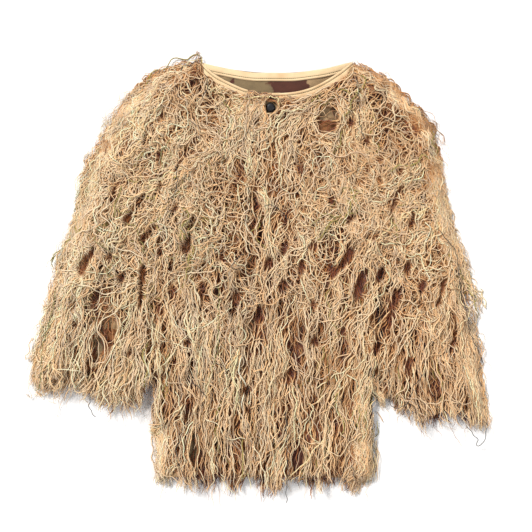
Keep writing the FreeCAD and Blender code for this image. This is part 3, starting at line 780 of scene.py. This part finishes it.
def end_of_yarn(x):
    """How far down yarn reaches, along Y: past the hem on the torso and past the cuffs on the sleeves."""
    reach = np.full(np.shape(x), HEM_Y - 11 * MM)
    for side in SIDES:
        cuff = np.interp(x, *np.transpose(SLEEVE_END[side]))
        reach = np.where((x - PIVOT[side][0]) * OUT[side] > 4 * MM, cuff, reach)
    return reach


def push_from(places, x, y, luck, reach=1.6):
    """Moves points out of the places where something shows, more for strands with more luck, from 0 to 1. It is felt
    to reach times a place's half size."""
    for middle_x, middle_y, half_x, half_y, clear in places:
        share = clear + (1.1 - clear) * luck
        dx, dy = (x - middle_x) / half_x, (y - middle_y) / half_y
        near = np.sqrt(dx**2 + dy**2)
        out = np.sqrt(share**2 + near**2 * (1 - share**2 / reach**2)) / (near + 1e-6)
        x = np.where(near < reach, middle_x + dx * out * half_x, x)
        y = np.where(near < reach, middle_y + dy * out * half_y, y)
    return x, y


def crosses_bare(path):
    """Which strands run through the middle of a bare place."""
    x, y = path[..., 0], path[..., 1]
    crosses = np.zeros(len(path), bool)
    for middle_x, middle_y, half_x, half_y, _ in BARE:
        crosses |= (np.hypot((x - middle_x) / half_x, (y - middle_y) / half_y) < 0.55).any(axis=1)
    return crosses


def turned_in(here, direction, slack):
    """Directions of growth that slide along the yarn's outline rather than run far out of it."""
    x, y = here.T
    step = 3 * MM
    slope_x = (YARN_IN(x + step, y) - YARN_IN(x - step, y)) / (2 * step)
    slope_y = (YARN_IN(x, y + step) - YARN_IN(x, y - step)) / (2 * step)
    outward = np.maximum(-(direction[:, 0] * slope_x + direction[:, 1] * slope_y), 0)
    much = smooth_step(-YARN_IN(x, y) - slack, -9 * MM, 8 * MM) * (1.05 * outward)
    turned = direction + np.stack([slope_x, slope_y], axis=1) * much[:, None]
    return turned / (np.linalg.norm(turned, axis=1, keepdims=True) + 1e-9)


SWIRL, FINE_SWIRL = Ripples(5, 0.11), Ripples(6, 0.05)
LUMPS, GAPS = Ripples(7, 0.035), Ripples(8, 0.030)


class Yarn:
    """Tufts of yarn that grow from rows of stitching, drift down over the cloth and end at a hem or a cuff."""

    STEPS = 32  # points along a strand
    LOCK_STEPS, LOCK_STEP = 44, 6 * MM  # the middle line of a tuft
    SHORTEST, LOWEST_Y = 20 * MM, -404 * MM
    SHARE_WISPS, SHARE_THROUGH_BARE, SHARE_OLIVE, SHARE_DUSTY = 0.12, 0.16, 0.022, 0.10
    LOWEST_Z, HIGHEST_Z = 1.2 * MM, MAT_TOP + 6 * MM
    # Shortest and longest wave, and the least and most that it swings a strand, in radians
    OWN_WAVES = ((0.034, 0.075, 0.18, 0.52), (0.016, 0.034, 0.24, 0.24))

    def __init__(self, seed, spots, per_tuft, length, x_limits=(-1.0, 1.0), under=None):
        """spots are rows of x, y, how far the tuft turns outwards in radians, and how high it starts, from 0 to 1.
        under is the highest that yarn below the jacket lies, or None for yarn on top of it."""
        self.rng = rng = default_rng(seed)
        self.x_limits, self.under = x_limits, under
        locks, outward, self.lock_start, spots = len(spots), spots[:, 2], spots[:, 3], spots[:, :2]

        def draw(low, high, many=locks):
            return rng.uniform(low, high, many)

        self.lock_curl = np.clip(curliness(*spots.T) + rng.normal(0, 0.15, locks), 0, 1)
        self.lock_layer = np.where(self.lock_start > 0.3, rng.beta(1.7, 1.5, locks), rng.beta(0.95, 1.7, locks))
        self.lock_olive = draw(0, 1) < self.SHARE_OLIVE
        self.lock_tone = rng.normal(1, 0.08, locks)
        self.lock_turn = rng.normal(0, 1, locks) * (0.10 + 0.40 * self.lock_curl) + outward * np.sign(spots[:, 0])
        swing = draw(0.08, 0.24) + draw(0.1, 0.65) * self.lock_curl
        self.lock_wave = swing, math.tau / draw(0.055, 0.14), draw(0, math.tau)
        self.centre = self.run_locks(spots)
        lock = np.repeat(np.arange(locks), per_tuft)
        count = len(lock)
        curl = np.clip(self.lock_curl[lock] + rng.normal(0, 0.10, count), 0.02, 1.0)
        stray, wisp = draw(0, 1, count) < 0.12 + 0.12 * curl, draw(0, 1, count) < self.SHARE_WISPS
        offset = rng.normal(0, 1, count) * 5.0 * MM
        self.each = {
            "lock": lock,
            "curl": curl,
            "stray": stray,
            "offset": offset,
            "root": spots[lock] + np.stack([offset, rng.normal(0, 4.0, count) * MM], axis=1),
            "length": length * draw(0.70, 1.15, count) * (1 + 0.12 * curl),
            "turn": rng.normal(0, 1, count) * np.where(stray, 0.32 + 0.45 * curl, 0.07 + 0.12 * curl),
            "bend": np.where(stray, rng.normal(0, 1, count) * (4 + 20 * curl), rng.normal(0, 1, count) * 2.0),
            "slack": np.where(wisp, rng.normal(4, 8, count), rng.normal(-7, 6, count)) * MM,
            "wisp": wisp,
        }
        for number, (short, long, least, most) in enumerate(self.OWN_WAVES):
            self.each[f"swing{number}"] = (least + (most - least) * curl) * draw(0.35, 1.5, count)
            self.each[f"rate{number}"] = math.tau / draw(short, long, count)
            self.each[f"phase{number}"] = draw(0, math.tau, count)
        path = self.run()
        self.each["length"] *= self.usable_share(path)
        keep = ~crosses_bare(path) | (draw(0, 1, count) < self.SHARE_THROUGH_BARE)
        keep &= self.each["length"] > self.SHORTEST
        self.each = {key: values[keep] for key, values in self.each.items()}
        self.lay(self.run())

    def flow(self, here, curl):
        x, y = here.T
        swirl = SWIRL(x, y) * (0.06 + 0.16 * curl) + FINE_SWIRL(x, y) * (0.07 + 0.24 * curl)
        return -math.pi / 2 + lean(x, y) + swirl

    def run_locks(self, here):
        """The middle line of each tuft."""
        swing, rate, phase = self.lock_wave
        points = [here]
        for number in range(self.LOCK_STEPS):
            heading = self.flow(here, self.lock_curl) + self.lock_turn
            heading = heading + swing * np.sin(rate * number * self.LOCK_STEP + phase)
            here = here + self.LOCK_STEP * np.stack([np.cos(heading), np.sin(heading)], axis=1)
            points.append(here)
        return np.stack(points, axis=1)

    def run(self):
        """Every strand's path over the plane. Each steers along its tuft's middle line and adds its own waves."""
        each = self.each
        lock, curl = each["lock"], each["curl"]
        step = each["length"] / (self.STEPS - 1)
        here, path = each["root"], [each["root"]]
        hold = np.where(each["stray"], 0.12, 1.0)
        for number in range(self.STEPS - 1):
            run = (number + 0.5) * step
            place = np.minimum(run * 0.94 / self.LOCK_STEP, self.LOCK_STEPS - 1.1)
            index = place.astype(int)
            ahead = self.centre[lock, index + 1] - self.centre[lock, index]
            away = here - self.centre[lock, index] - ahead * (place - index)[:, None]
            lock_heading = np.arctan2(ahead[:, 1], ahead[:, 0])
            sideways = (ahead[:, 0] * away[:, 1] - ahead[:, 1] * away[:, 0]) / self.LOCK_STEP
            wanted = each["offset"] * (1 - (0.8 - 0.5 * curl) * smooth_step(run, 0.01, 0.11))
            heading = lock_heading - hold * np.clip((sideways - wanted) / 0.028, -1, 1)
            heading = heading + each["turn"] + each["bend"] * run
            for wave in range(len(self.OWN_WAVES)):
                phase = each[f"rate{wave}"] * run + each[f"phase{wave}"]
                heading = heading + each[f"swing{wave}"] * np.sin(phase)
            direction = np.stack([np.cos(heading), np.sin(heading)], axis=1)
            here = here + step[:, None] * turned_in(here, direction, each["slack"])
            path.append(here)
        return np.stack(path, axis=1)

    def usable_share(self, path):
        """The part of each strand that lies above where the yarn of its place ends."""
        x, y = path[..., 0], path[..., 1]
        uneven = 7 * MM * FINE_SWIRL(x, y * 0.2) + self.rng.normal(6, 10, len(path))[:, None] * MM
        uneven = uneven - self.each["wisp"][:, None] * self.rng.exponential(14 * MM, len(path))[:, None]
        over = y < np.maximum(end_of_yarn(x) + uneven, self.LOWEST_Y)
        first = np.where(over.any(axis=1), over.argmax(axis=1), self.STEPS - 1)
        return np.maximum(first, 1) / (self.STEPS - 1)

    def waves(self, run, short, long):
        """A wave along each strand, with a length and a start of its own."""
        rate = math.tau / self.rng.uniform(short, long, len(run))[:, None]
        return np.sin(run * rate + self.rng.uniform(0, 6.28, len(run))[:, None])

    def keep_clear(self, path):
        """Moves strands out of the neck, the bare places and the other front, and takes out those over the stud."""
        rng, count = self.rng, len(path)
        x, y = path[..., 0], path[..., 1]
        low_x, high_x = self.x_limits
        high_x = high_x + 9 * MM * smooth_step(y, 0.303, 0.320)
        x = np.where(x > high_x, high_x + 0.25 * (x - high_x), x)
        x = np.where(x < low_x, low_x + 0.25 * (x - low_x), x)
        pushed = push_from(BARE, x, y, rng.uniform(0, 1, count)[:, None])
        through = crosses_bare(path)[:, None]
        x, y = np.where(through, x, pushed[0]), np.where(through, y, pushed[1])
        # The share of the tape that shows, which is none of it at the lapped corner.
        shown = np.interp(x, [-0.026, -0.022, 0.014, 0.018, 0.046, 0.058], [0.72, 0, 0, 0.33, 0.33, 0.72])
        neck = neckline_y(x, "front", TAPE_WIDTH * (shown + 0.3 * rng.uniform(0, 1, count)[:, None]))
        at_neck = (x > NECK_X["right"]) & (x < NECK_X["left"]) & (y > neck)
        y = np.where(at_neck, neck - 0.4 * (y - neck), y)
        clear = (np.hypot(x - STUD[0], y - STUD[1]) > 0.8 * CAP_R).all(axis=1)
        x, y = push_from([STUD], x, y, 0.0)
        clear &= (np.hypot(x - STUD[0], y - STUD[1]) > 1.25 * CAP_R).all(axis=1)
        self.each = {key: values[clear] for key, values in self.each.items()}
        return x[clear], y[clear]

    def lay(self, path):
        """Gives the strands their small waves, their thickness and their places in depth."""
        x, y = self.keep_clear(path)
        rng, each, count = self.rng, self.each, len(x)
        curl = each["curl"][:, None]
        run = np.linspace(0, 1, self.STEPS)[None, :] * each["length"][:, None]
        # Small side-to-side waves, larger at the edges.
        rim, high = 1 - smooth_step(YARN_IN(x, y), 4 * MM, 30 * MM), smooth_step(y, 0.10, 0.25)
        reach = (0.5 + 1.4 * curl + rim * (1.8 + 1.2 * high)) * MM * smooth_step(run, 0.004, 0.030)
        sideways = reach * self.waves(run, 0.022, 0.045)
        slope_x, slope_y = np.gradient(x, axis=1), np.gradient(y, axis=1)
        length = np.hypot(slope_x, slope_y) + 1e-9
        x, y = x - sideways * slope_y / length, y + sideways * slope_x / length
        own_layer = rng.normal(0, 0.07, count) + 0.25 * (each["stray"] * rng.uniform(-0.2, 1, count))
        roundness = 0.10 * np.exp(-((each["offset"] / (4 * MM)) ** 2))
        layer = np.clip(self.lock_layer[each["lock"]] * 0.82 + own_layer + roundness, 0.0, 1.0)[:, None]
        gaps = smooth_step(GAPS(x, (0.20 + 0.28 * curl) * y) + 0.45 * LUMPS(x, y) + 0.25 * curl, 0.75, 1.9)
        gaps = gaps * smooth_step(YARN_IN(x, y), 14 * MM, 44 * MM)
        start = self.lock_start[each["lock"]][:, None]
        self.lift = layer * (start + (1 - start) * smooth_step(run, 0.0, 0.040)) * (1 - 0.8 * gaps)
        # Lower towards the collar and towards the wearer's left, which through the painted depth shade also darkens
        # the yarn there.
        self.lift = self.lift * (1.03 + 0.07 * smooth_step(-y, -0.05, 0.10) - 0.19 * smooth_step(y, 0.06, 0.20))
        self.lift = self.lift * (1 - 0.13 * to_left(x))
        weave = (0.8 + 0.9 * curl) * MM * self.waves(run, 0.030, 0.070)
        ground = GROUND(x, y)
        ceiling = np.maximum(CEILING(x, y), ground + 8 * MM)
        lumps = 3.0 * MM * LUMPS(x, 0.5 * y) * self.lift
        z = ground + MM + (ceiling - ground) * 0.90 * self.lift + weave + lumps
        if self.under is not None:
            z = self.LOWEST_Z + (self.under - 2.2 * MM) * self.lift
        radius = np.where(each["wisp"], rng.uniform(0.28, 0.45, count), rng.uniform(0.80, 1.15, count))[:, None] * MM
        t = np.linspace(0, 1, self.STEPS)[None, :]
        self.radius = radius * (1 - 0.6 * smooth_step(t, 0.80, 1.0)) * (1 + 0.10 * np.sin(run * 2100 + 40 * layer))
        self.path = np.stack([x, y, np.clip(z, self.LOWEST_Z, self.HIGHEST_Z)], axis=-1)

    def tints_and_shade(self):
        """Creams and tans by strand and a few olive strands, with painted shade: darker towards the roots and deep in
        the mat, less so near the yarn's edges, and a little darker towards the wearer's left.
        """
        rng, count = self.rng, len(self.path)
        cream, tan, dusty = np.array([[0.99, 0.78, 0.52], [0.86, 0.525, 0.25], [0.77, 0.57, 0.38]])
        share = rng.beta(1.0, 0.9, count)[:, None]
        colour = tan * (1 - share) + cream * share
        colour = np.where(rng.uniform(0, 1, count)[:, None] < self.SHARE_DUSTY, dusty, colour)
        lock = self.each["lock"]
        olive = rng.uniform(0, 1, count) < np.where(self.lock_olive[lock], 0.55, 0.015)
        colour = np.where(olive[:, None], np.array([0.36, 0.30, 0.07]), colour)
        colour = colour * (self.lock_tone[lock] * rng.normal(1, 0.10, count))[:, None]
        # Painted shade: strands that lie deep in the mat, and their roots, are darkened, less so near the yarn's
        # edges.
        rim = 1 - smooth_step(YARN_IN(self.path[..., 0], self.path[..., 1]), 4 * MM, 34 * MM)
        rim = rim * (0.52 - 0.22 * smooth_step(self.path[..., 1], 0.10, 0.25))
        depth_shade = 1 - 0.82 * (1 - smooth_step(np.maximum(self.lift, rim), 0.03, 0.56))
        # Painted shade, a little darker towards the wearer's left.
        depth_shade = depth_shade * (1 - 0.03 * to_left(self.path[..., 0]))
        depth_shade_colour = np.stack([depth_shade, depth_shade**1.7, depth_shade**2.6], axis=-1)
        return np.clip(colour[:, None, :] * depth_shade_colour, 0.01, 0.95)


def rows_of_spots(rng, inside, x_range, y_range, row_gap, spot_gap, outward=0.0, start=0.12):
    """Tufts in staggered rows where a test holds: x, y, a turn outwards of up to outward, and how high each starts."""
    spots = []
    for number, y in enumerate(np.arange(y_range[0], y_range[1], row_gap)):
        x = np.arange(x_range[0] + (number % 2) * spot_gap / 2, x_range[1], spot_gap)
        x = x + rng.normal(0, 0.22 * spot_gap, len(x))
        spots.append(np.stack([x, y + rng.normal(0, 0.16 * row_gap, len(x))], axis=1))
    spots = np.concatenate(spots)
    spots = spots[inside(spots[:, 0], spots[:, 1])]
    return np.column_stack([spots, rng.uniform(0, 1, len(spots)) * outward, np.full(len(spots), start)])


def yarn_pieces(name, fringe, most=1000):
    """The fringe as meshes of at most so many strands each, from the top down."""
    order = np.argsort(-fringe.path[:, 0, 1], kind="stable")
    tint = fringe.tints_and_shade()
    return [
        tubes(f"{name}_{number}", fringe.path[chosen], fringe.radius[chosen], tint[chosen], 3, YARN)
        for number, chosen in enumerate(np.array_split(order, math.ceil(len(order) / most)), start=1)
    ]


def loose_threads(name, lines, tint, seed, radius=0.65 * MM):
    """Thin threads that lie loosely over the yarn. Each line is the places it passes on the plane, in mm."""
    rng = default_rng(seed)
    steps = 60
    paths = []
    for line in lines:
        places = np.array(line, float) * MM
        run = run_of(places)
        at = np.linspace(0, run[-1], steps)
        flat = np.stack([np.interp(at, run, places[:, axis]) for axis in range(2)], axis=1)
        for _ in range(3):
            flat[1:-1] = 0.25 * flat[:-2] + 0.5 * flat[1:-1] + 0.25 * flat[2:]
        flat[:, 0] += np.sin(at * rng.uniform(250, 420) + rng.uniform(0, 6)) * 1.2 * MM
        x, y = flat.T
        z = (CEILING(x, y) + 6 * MM) * smooth_step(YARN_IN(x, y), -7 * MM, 4 * MM)
        paths.append(np.stack([x, y, np.clip(z, 1.5 * MM, Yarn.HIGHEST_Z)], axis=1))
    tint = np.ones((len(lines), steps, 3)) * np.array(tint)
    return tubes(name, np.stack(paths), np.full((len(lines), steps), radius), tint, 5, YARN)


def clear_of_neck(x, y, by):
    """Whether places are below the neckline, by more than the given distance."""
    return (y < neckline_y(x, "front", by)) | (x < NECK_X["right"]) | (x > NECK_X["left"])


def front_spots(side, seed):
    """The tufts of one front: rows all over it, and more of them near the shoulder, the neck and the edges."""
    rng = default_rng(seed)

    def on_front(x, y):
        half = x < -7 * MM if side == "right" else x > 5 * MM
        outside = np.where(y > SHOULDER_Y, 7 * MM, 2 * MM)
        return (TORSO_IN(x, y) > -outside) & clear_of_neck(x, y, 0.75 * TAPE_WIDTH) & half

    def near_top(x, y):
        top = ~clear_of_neck(x, y - 45 * MM, 0) | (y > SHOULDER_Y - 30 * MM)
        return on_front(x, y) & top

    def near_edge(x, y):
        return on_front(x, y) & (TORSO_IN(x, y) < 14 * MM) & (np.abs(x - NECK_MID) > 30 * MM)

    spread = (sorted([0.0, OUT[side] * 0.23]), (HEM_Y + 8 * MM, TOP_Y - 4 * MM))
    everywhere = rows_of_spots(rng, on_front, *spread, 26 * MM, 13 * MM)
    top = rows_of_spots(rng, near_top, *spread, 24 * MM, 14 * MM)
    edge = rows_of_spots(rng, near_edge, *spread, 11 * MM, 7 * MM, outward=0.25, start=0.55)
    edge[:, 2] *= smooth_step(edge[:, 1], 0.0, 0.2)
    edge = edge[(edge[:, 1] > ARMPIT_Y) | (rng.uniform(0, 1, len(edge)) < 0.30)]
    # A row along the neckline. At the lapped corner it covers the tape, and is combed over to the wearer's right.
    ends = {"right": (NECK_X["right"], -24 * MM), "left": (18 * MM, NECK_X["left"])}[side]
    x = np.arange(*ends, 5 * MM)
    y = neckline_y(x, "front", TAPE_WIDTH * rng.uniform(0.75, 1.15, len(x)))
    collar = np.column_stack([x, y, np.zeros(len(x)), np.full(len(x), 0.55)])
    if side == "right":
        many = 34
        x = rng.uniform(-24 * MM, 14 * MM, many)
        y = neckline_y(x, "front", rng.uniform(0, 9 * MM, many))
        collar = np.concatenate([collar, np.column_stack([x, y, -0.5 * np.sign(x), np.full(many, 0.6)])])
    return np.concatenate([everywhere, top, edge, collar])


def sleeve_spots(side, seed):
    """The tufts of one sleeve: rows all over it, and more of them on its crown and along its outer edge."""
    rng = default_rng(seed)
    x_range = sorted([PIVOT[side][0] - OUT[side] * 0.09, CUFF_OUT[side][0] + OUT[side] * 0.01])
    spread = (x_range, (CUFF_IN[side][1], TOP_Y))
    on_sleeve = SLEEVE_IN[side]
    everywhere = rows_of_spots(rng, lambda x, y: on_sleeve(x, y) > -MM, *spread, 26 * MM, 13 * MM)

    def near_crown(x, y):
        return (on_sleeve(x, y) > -MM) & ((x - PIVOT[side][0]) * OUT[side] > -0.02) & (y > 0.10)

    def near_edge(x, y):
        outside = (x - PIVOT[side][0]) * OUT[side] > 0.02
        return (on_sleeve(x, y) > -MM) & (on_sleeve(x, y) < 18 * MM) & outside

    crown = rows_of_spots(rng, near_crown, *spread, 34 * MM, 15 * MM)
    edge = rows_of_spots(rng, near_edge, *spread, 12 * MM, 7 * MM, outward=0.20, start=0.55)
    return np.concatenate([everywhere, crown, edge])


# -------- building the jacket


def bend_front(piece):
    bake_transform(piece)


def bend_sleeve(piece):
    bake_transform(piece)


fringes = {}
for side, seed in (("right", 101), ("left", 102)):
    limits = (-0.5, 6 * MM) if side == "right" else (-9 * MM, 0.5)
    fringe = Yarn(seed + 10, front_spots(side, seed), 6, 0.150, limits)
    fringes[side] = yarn_pieces(f"yarn_front_{side}", fringe)
    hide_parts(f"front_side_fringe_{side}", f"front_fringe_{side}")
for side, seed in (("right", 103), ("left", 104)):
    fringe = Yarn(seed + 10, sleeve_spots(side, seed), 6, 0.150)
    fringes[f"sleeve_{side}"] = yarn_pieces(f"yarn_sleeve_{side}", fringe)
    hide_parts(f"sleeve_fringe_{side}", f"sleeve_fringe_under_{side}")
rng = default_rng(105)
spots = rows_of_spots(rng, lambda x, y: TORSO_IN(x, y) > 0, (-0.21, 0.23), (HEM_Y + 8 * MM, TOP_Y), 42 * MM, 20 * MM)
fringes["back"] = yarn_pieces("yarn_back", Yarn(115, spots, 5, 0.140, under=BACK_Z - MM))
for piece in fringes["back"]:
    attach(piece, "torso")
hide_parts("back_fringe")

DARK, OLIVE = (0.045, 0.040, 0.030), (0.20, 0.19, 0.05)
THREADS = {
    "right": [
        [(-143, 362), (-135, 374), (-126, 370), (-116, 380)],
        [(-99, 353), (-92, 338), (-95, 322), (-104, 310)],
        [(-148, 193), (-146, 167), (-148, 147), (-168, 125)],
        [(-122, -165), (-119, -184), (-106, -193), (-97, -207)],
        [(-136, -270), (-149, -301), (-144, -328), (-131, -350)],
        [(-79, -149), (-69, -153), (-61, -160), (-59, -166), (-64, -168)],
        [(-30, 40), (-38, 36), (-47, 27), (-52, 17), (-44, 12), (-36, 16)],
    ],
    "left": [
        [(170, 366), (165, 348), (170, 306), (170, 270), (178, 240)],
        [(4, 122), (16, 126), (34, 115), (48, 98)],
        [(42, -230), (44, -277), (44, -313), (48, -338), (43, -358), (44, -392)],
        [(158, -328), (163, -350)],
    ],
    "sleeve_right": [
        [(-372, -75), (-375, -90), (-383, -102), (-388, -114), (-386, -122)],
        [(-387, -55), (-382, -54), (-377, -51)],
        [(-290, -183), (-295, -205), (-299, -222), (-296, -234), (-290, -244)],
    ],
    "sleeve_left": [
        [(310, 82), (324, 65), (341, 50), (345, 26), (346, 1), (348, -28), (358, -63), (361, -85), (366, -102)]
        + [(377, -122), (390, -141), (396, -160), (379, -162), (380, -178), (390, -195), (398, -212), (399, -227)]
        + [(393, -233)],
        [(356, -258), (367, -272), (378, -284), (379, -299), (392, -290), (396, -273), (400, -264), (395, -256)],
        [(222, -160), (222, -178), (222, -193), (222, -212), (228, -227), (238, -231), (252, -221), (259, -207)]
        + [(263, -190), (275, -178), (282, -168)],
        [(271, -220), (272, -234), (277, -249), (283, -261)],
        [(188, -150), (193, -172), (198, -178), (205, -170)],
        [(212, 354), (220, 357), (226, 344)],
    ],
}
OLIVE_THREADS = {
    "right": [
        [(-158, 238), (-173, 218), (-175, 203), (-169, 189)],
        [(-74, -16), (-74, -70), (-76, -130), (-98, -200)],
    ],
    "sleeve_right": [
        [(-362, -21), (-364, -45), (-376, -94), (-383, -114), (-386, -139), (-384, -158), (-387, -183), (-388, -195)]
        + [(-399, -201)],
    ],
}
for number, (name, lines) in enumerate(THREADS.items()):
    fringes[name].append(loose_threads(f"dark_threads_{name}", lines, DARK, 301 + number))
for number, (name, lines) in enumerate(OLIVE_THREADS.items()):
    fringes[name].append(loose_threads(f"olive_threads_{name}", lines, OLIVE, 311 + number, 0.7 * MM))
for side in SIDES:
    for piece in fringes[side]:
        bend_front(piece)
    for piece in fringes[f"sleeve_{side}"]:
        bend_sleeve(piece)

# Cloth, with the seams that join it
cloths = {}
for side in SIDES:
    cloths[side] = front_cloth(side)
    bend_front(cloths[side])
    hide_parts(f"front_side_{side}", f"front_panel_{side}")
cloths["back"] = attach(back_cloth(), "torso")
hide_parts("back_panel")
for side in SIDES:
    cloths[f"sleeve_{side}"] = sleeve_cloth(side)
    bend_sleeve(cloths[f"sleeve_{side}"])
    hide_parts(f"sleeve_upper_{side}", f"sleeve_under_{side}")

trims = {name: [] for name in cloths}
strips = [(part, "torso", side) for part in ("side_seam", "shoulder_seam", "hem_fold_side") for side in SIDES]
strips += [(part, f"front_{side}", side) for part in ("placket", "hem_fold") for side in SIDES]
strips += [("hem_fold", "torso", "back")]
strips += [(f"sleeve_seam_{edge}", f"sleeve_{side}", side) for edge in ("outer", "inner") for side in SIDES]
strips += [("cuff_elastic", f"sleeve_{side}", side) for side in SIDES]
for seed, (part, body, side) in enumerate(strips, start=200):
    node = f"{part}_{side}"
    cuff, seam = part == "cuff_elastic", "_seam" in part
    material, slot = (ELASTIC, "elastic") if cuff else (CAMOUFLAGE["front"], "camouflage_cloth")
    piece = strip_for(node, material, seed, sunk=2.5 * MM if seam else 0.0)
    if part.startswith("sleeve_seam"):
        bend_sleeve(piece)
    else:
        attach(piece, body)
    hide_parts(node)
    trims[body if body.startswith("sleeve") else side].append(piece)

# Neck tapes
stop = {"right": high("neck_tape_right")[0], "left": SNAP_X + 2 * MM}
for side in SIDES:
    surface = lambda x, y, side=side: front_z(side, x, y) + 0.6 * MM
    ends = sorted([NECK_X[side], stop[side]])
    tape, sewn = neck_tape(f"neck_tape_front_{side}", "front", *ends, surface, 41)
    for piece in (tape, sewn):
        bend_front(piece)
        trims[side].append(piece)
    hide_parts(f"neck_tape_side_{side}", f"neck_tape_{side}")
tape, sewn = neck_tape(
    "neck_tape_inside", "back", NECK_X["right"], NECK_X["left"], lambda x, y: back_z(x, y) + 0.5 * MM, 43
)
for piece in (tape, sewn):
    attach(piece, "torso")
    trims["back"].append(piece)
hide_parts("neck_tape_back")

# Press studs keep their CAD meshes
for node in ("snap_caps", "snap_sockets", "snap_studs", "snap_eyelets"):
    piece = frame["nodes"][node]
    piece.data.materials.clear()
    piece.data.materials.append(CAP_METAL if node == "snap_caps" else SNAP_METAL)

# -------- floor, light and camera

bpy.ops.mesh.primitive_plane_add(size=12, location=(0, 0, -0.2 * MM))
floor = bpy.context.object
floor.name = "floor"
paper = Nodes("paper", 0.9)
paper.put(paper.shader, Base_Color=(0.93, 0.93, 0.93, 1))
floor.data.materials.append(paper.material)


def sun(name, towards, strength, angle, colour):
    light = bpy.data.lights.new(name, "SUN")
    light.energy, light.angle, light.color = strength, math.radians(angle), colour
    lamp = bpy.data.objects.new(name, light)
    direction = Vector(towards)
    lamp.rotation_mode = "QUATERNION"
    lamp.rotation_quaternion = direction.to_track_quat("Z", "Y")
    bpy.context.scene.collection.objects.link(lamp)


sun("key", (-0.45, 0.45, 0.8), 3.25, 16, (1.0, 0.96, 0.92))
sun("fill", (0.55, -0.1, 0.8), 1.0, 30, (0.94, 0.97, 1.0))
world = bpy.data.worlds.new("studio")
world.use_nodes = True
world.node_tree.nodes["Background"].inputs["Color"].default_value = (0.97, 0.98, 1.0, 1)
world.node_tree.nodes["Background"].inputs["Strength"].default_value = 0.30
scene = bpy.context.scene
scene.world = world
scene.view_settings.view_transform = "Standard"

camera = bpy.data.cameras.new("camera")
height, seen_width, sensor_mm = 2.2, 0.931, 36
camera.sensor_width = sensor_mm
camera.lens = sensor_mm * height / seen_width
eye = bpy.data.objects.new("camera", camera)
eye.location = (0.008, 0.019, height + 0.03)
scene.collection.objects.link(eye)
scene.camera = eye
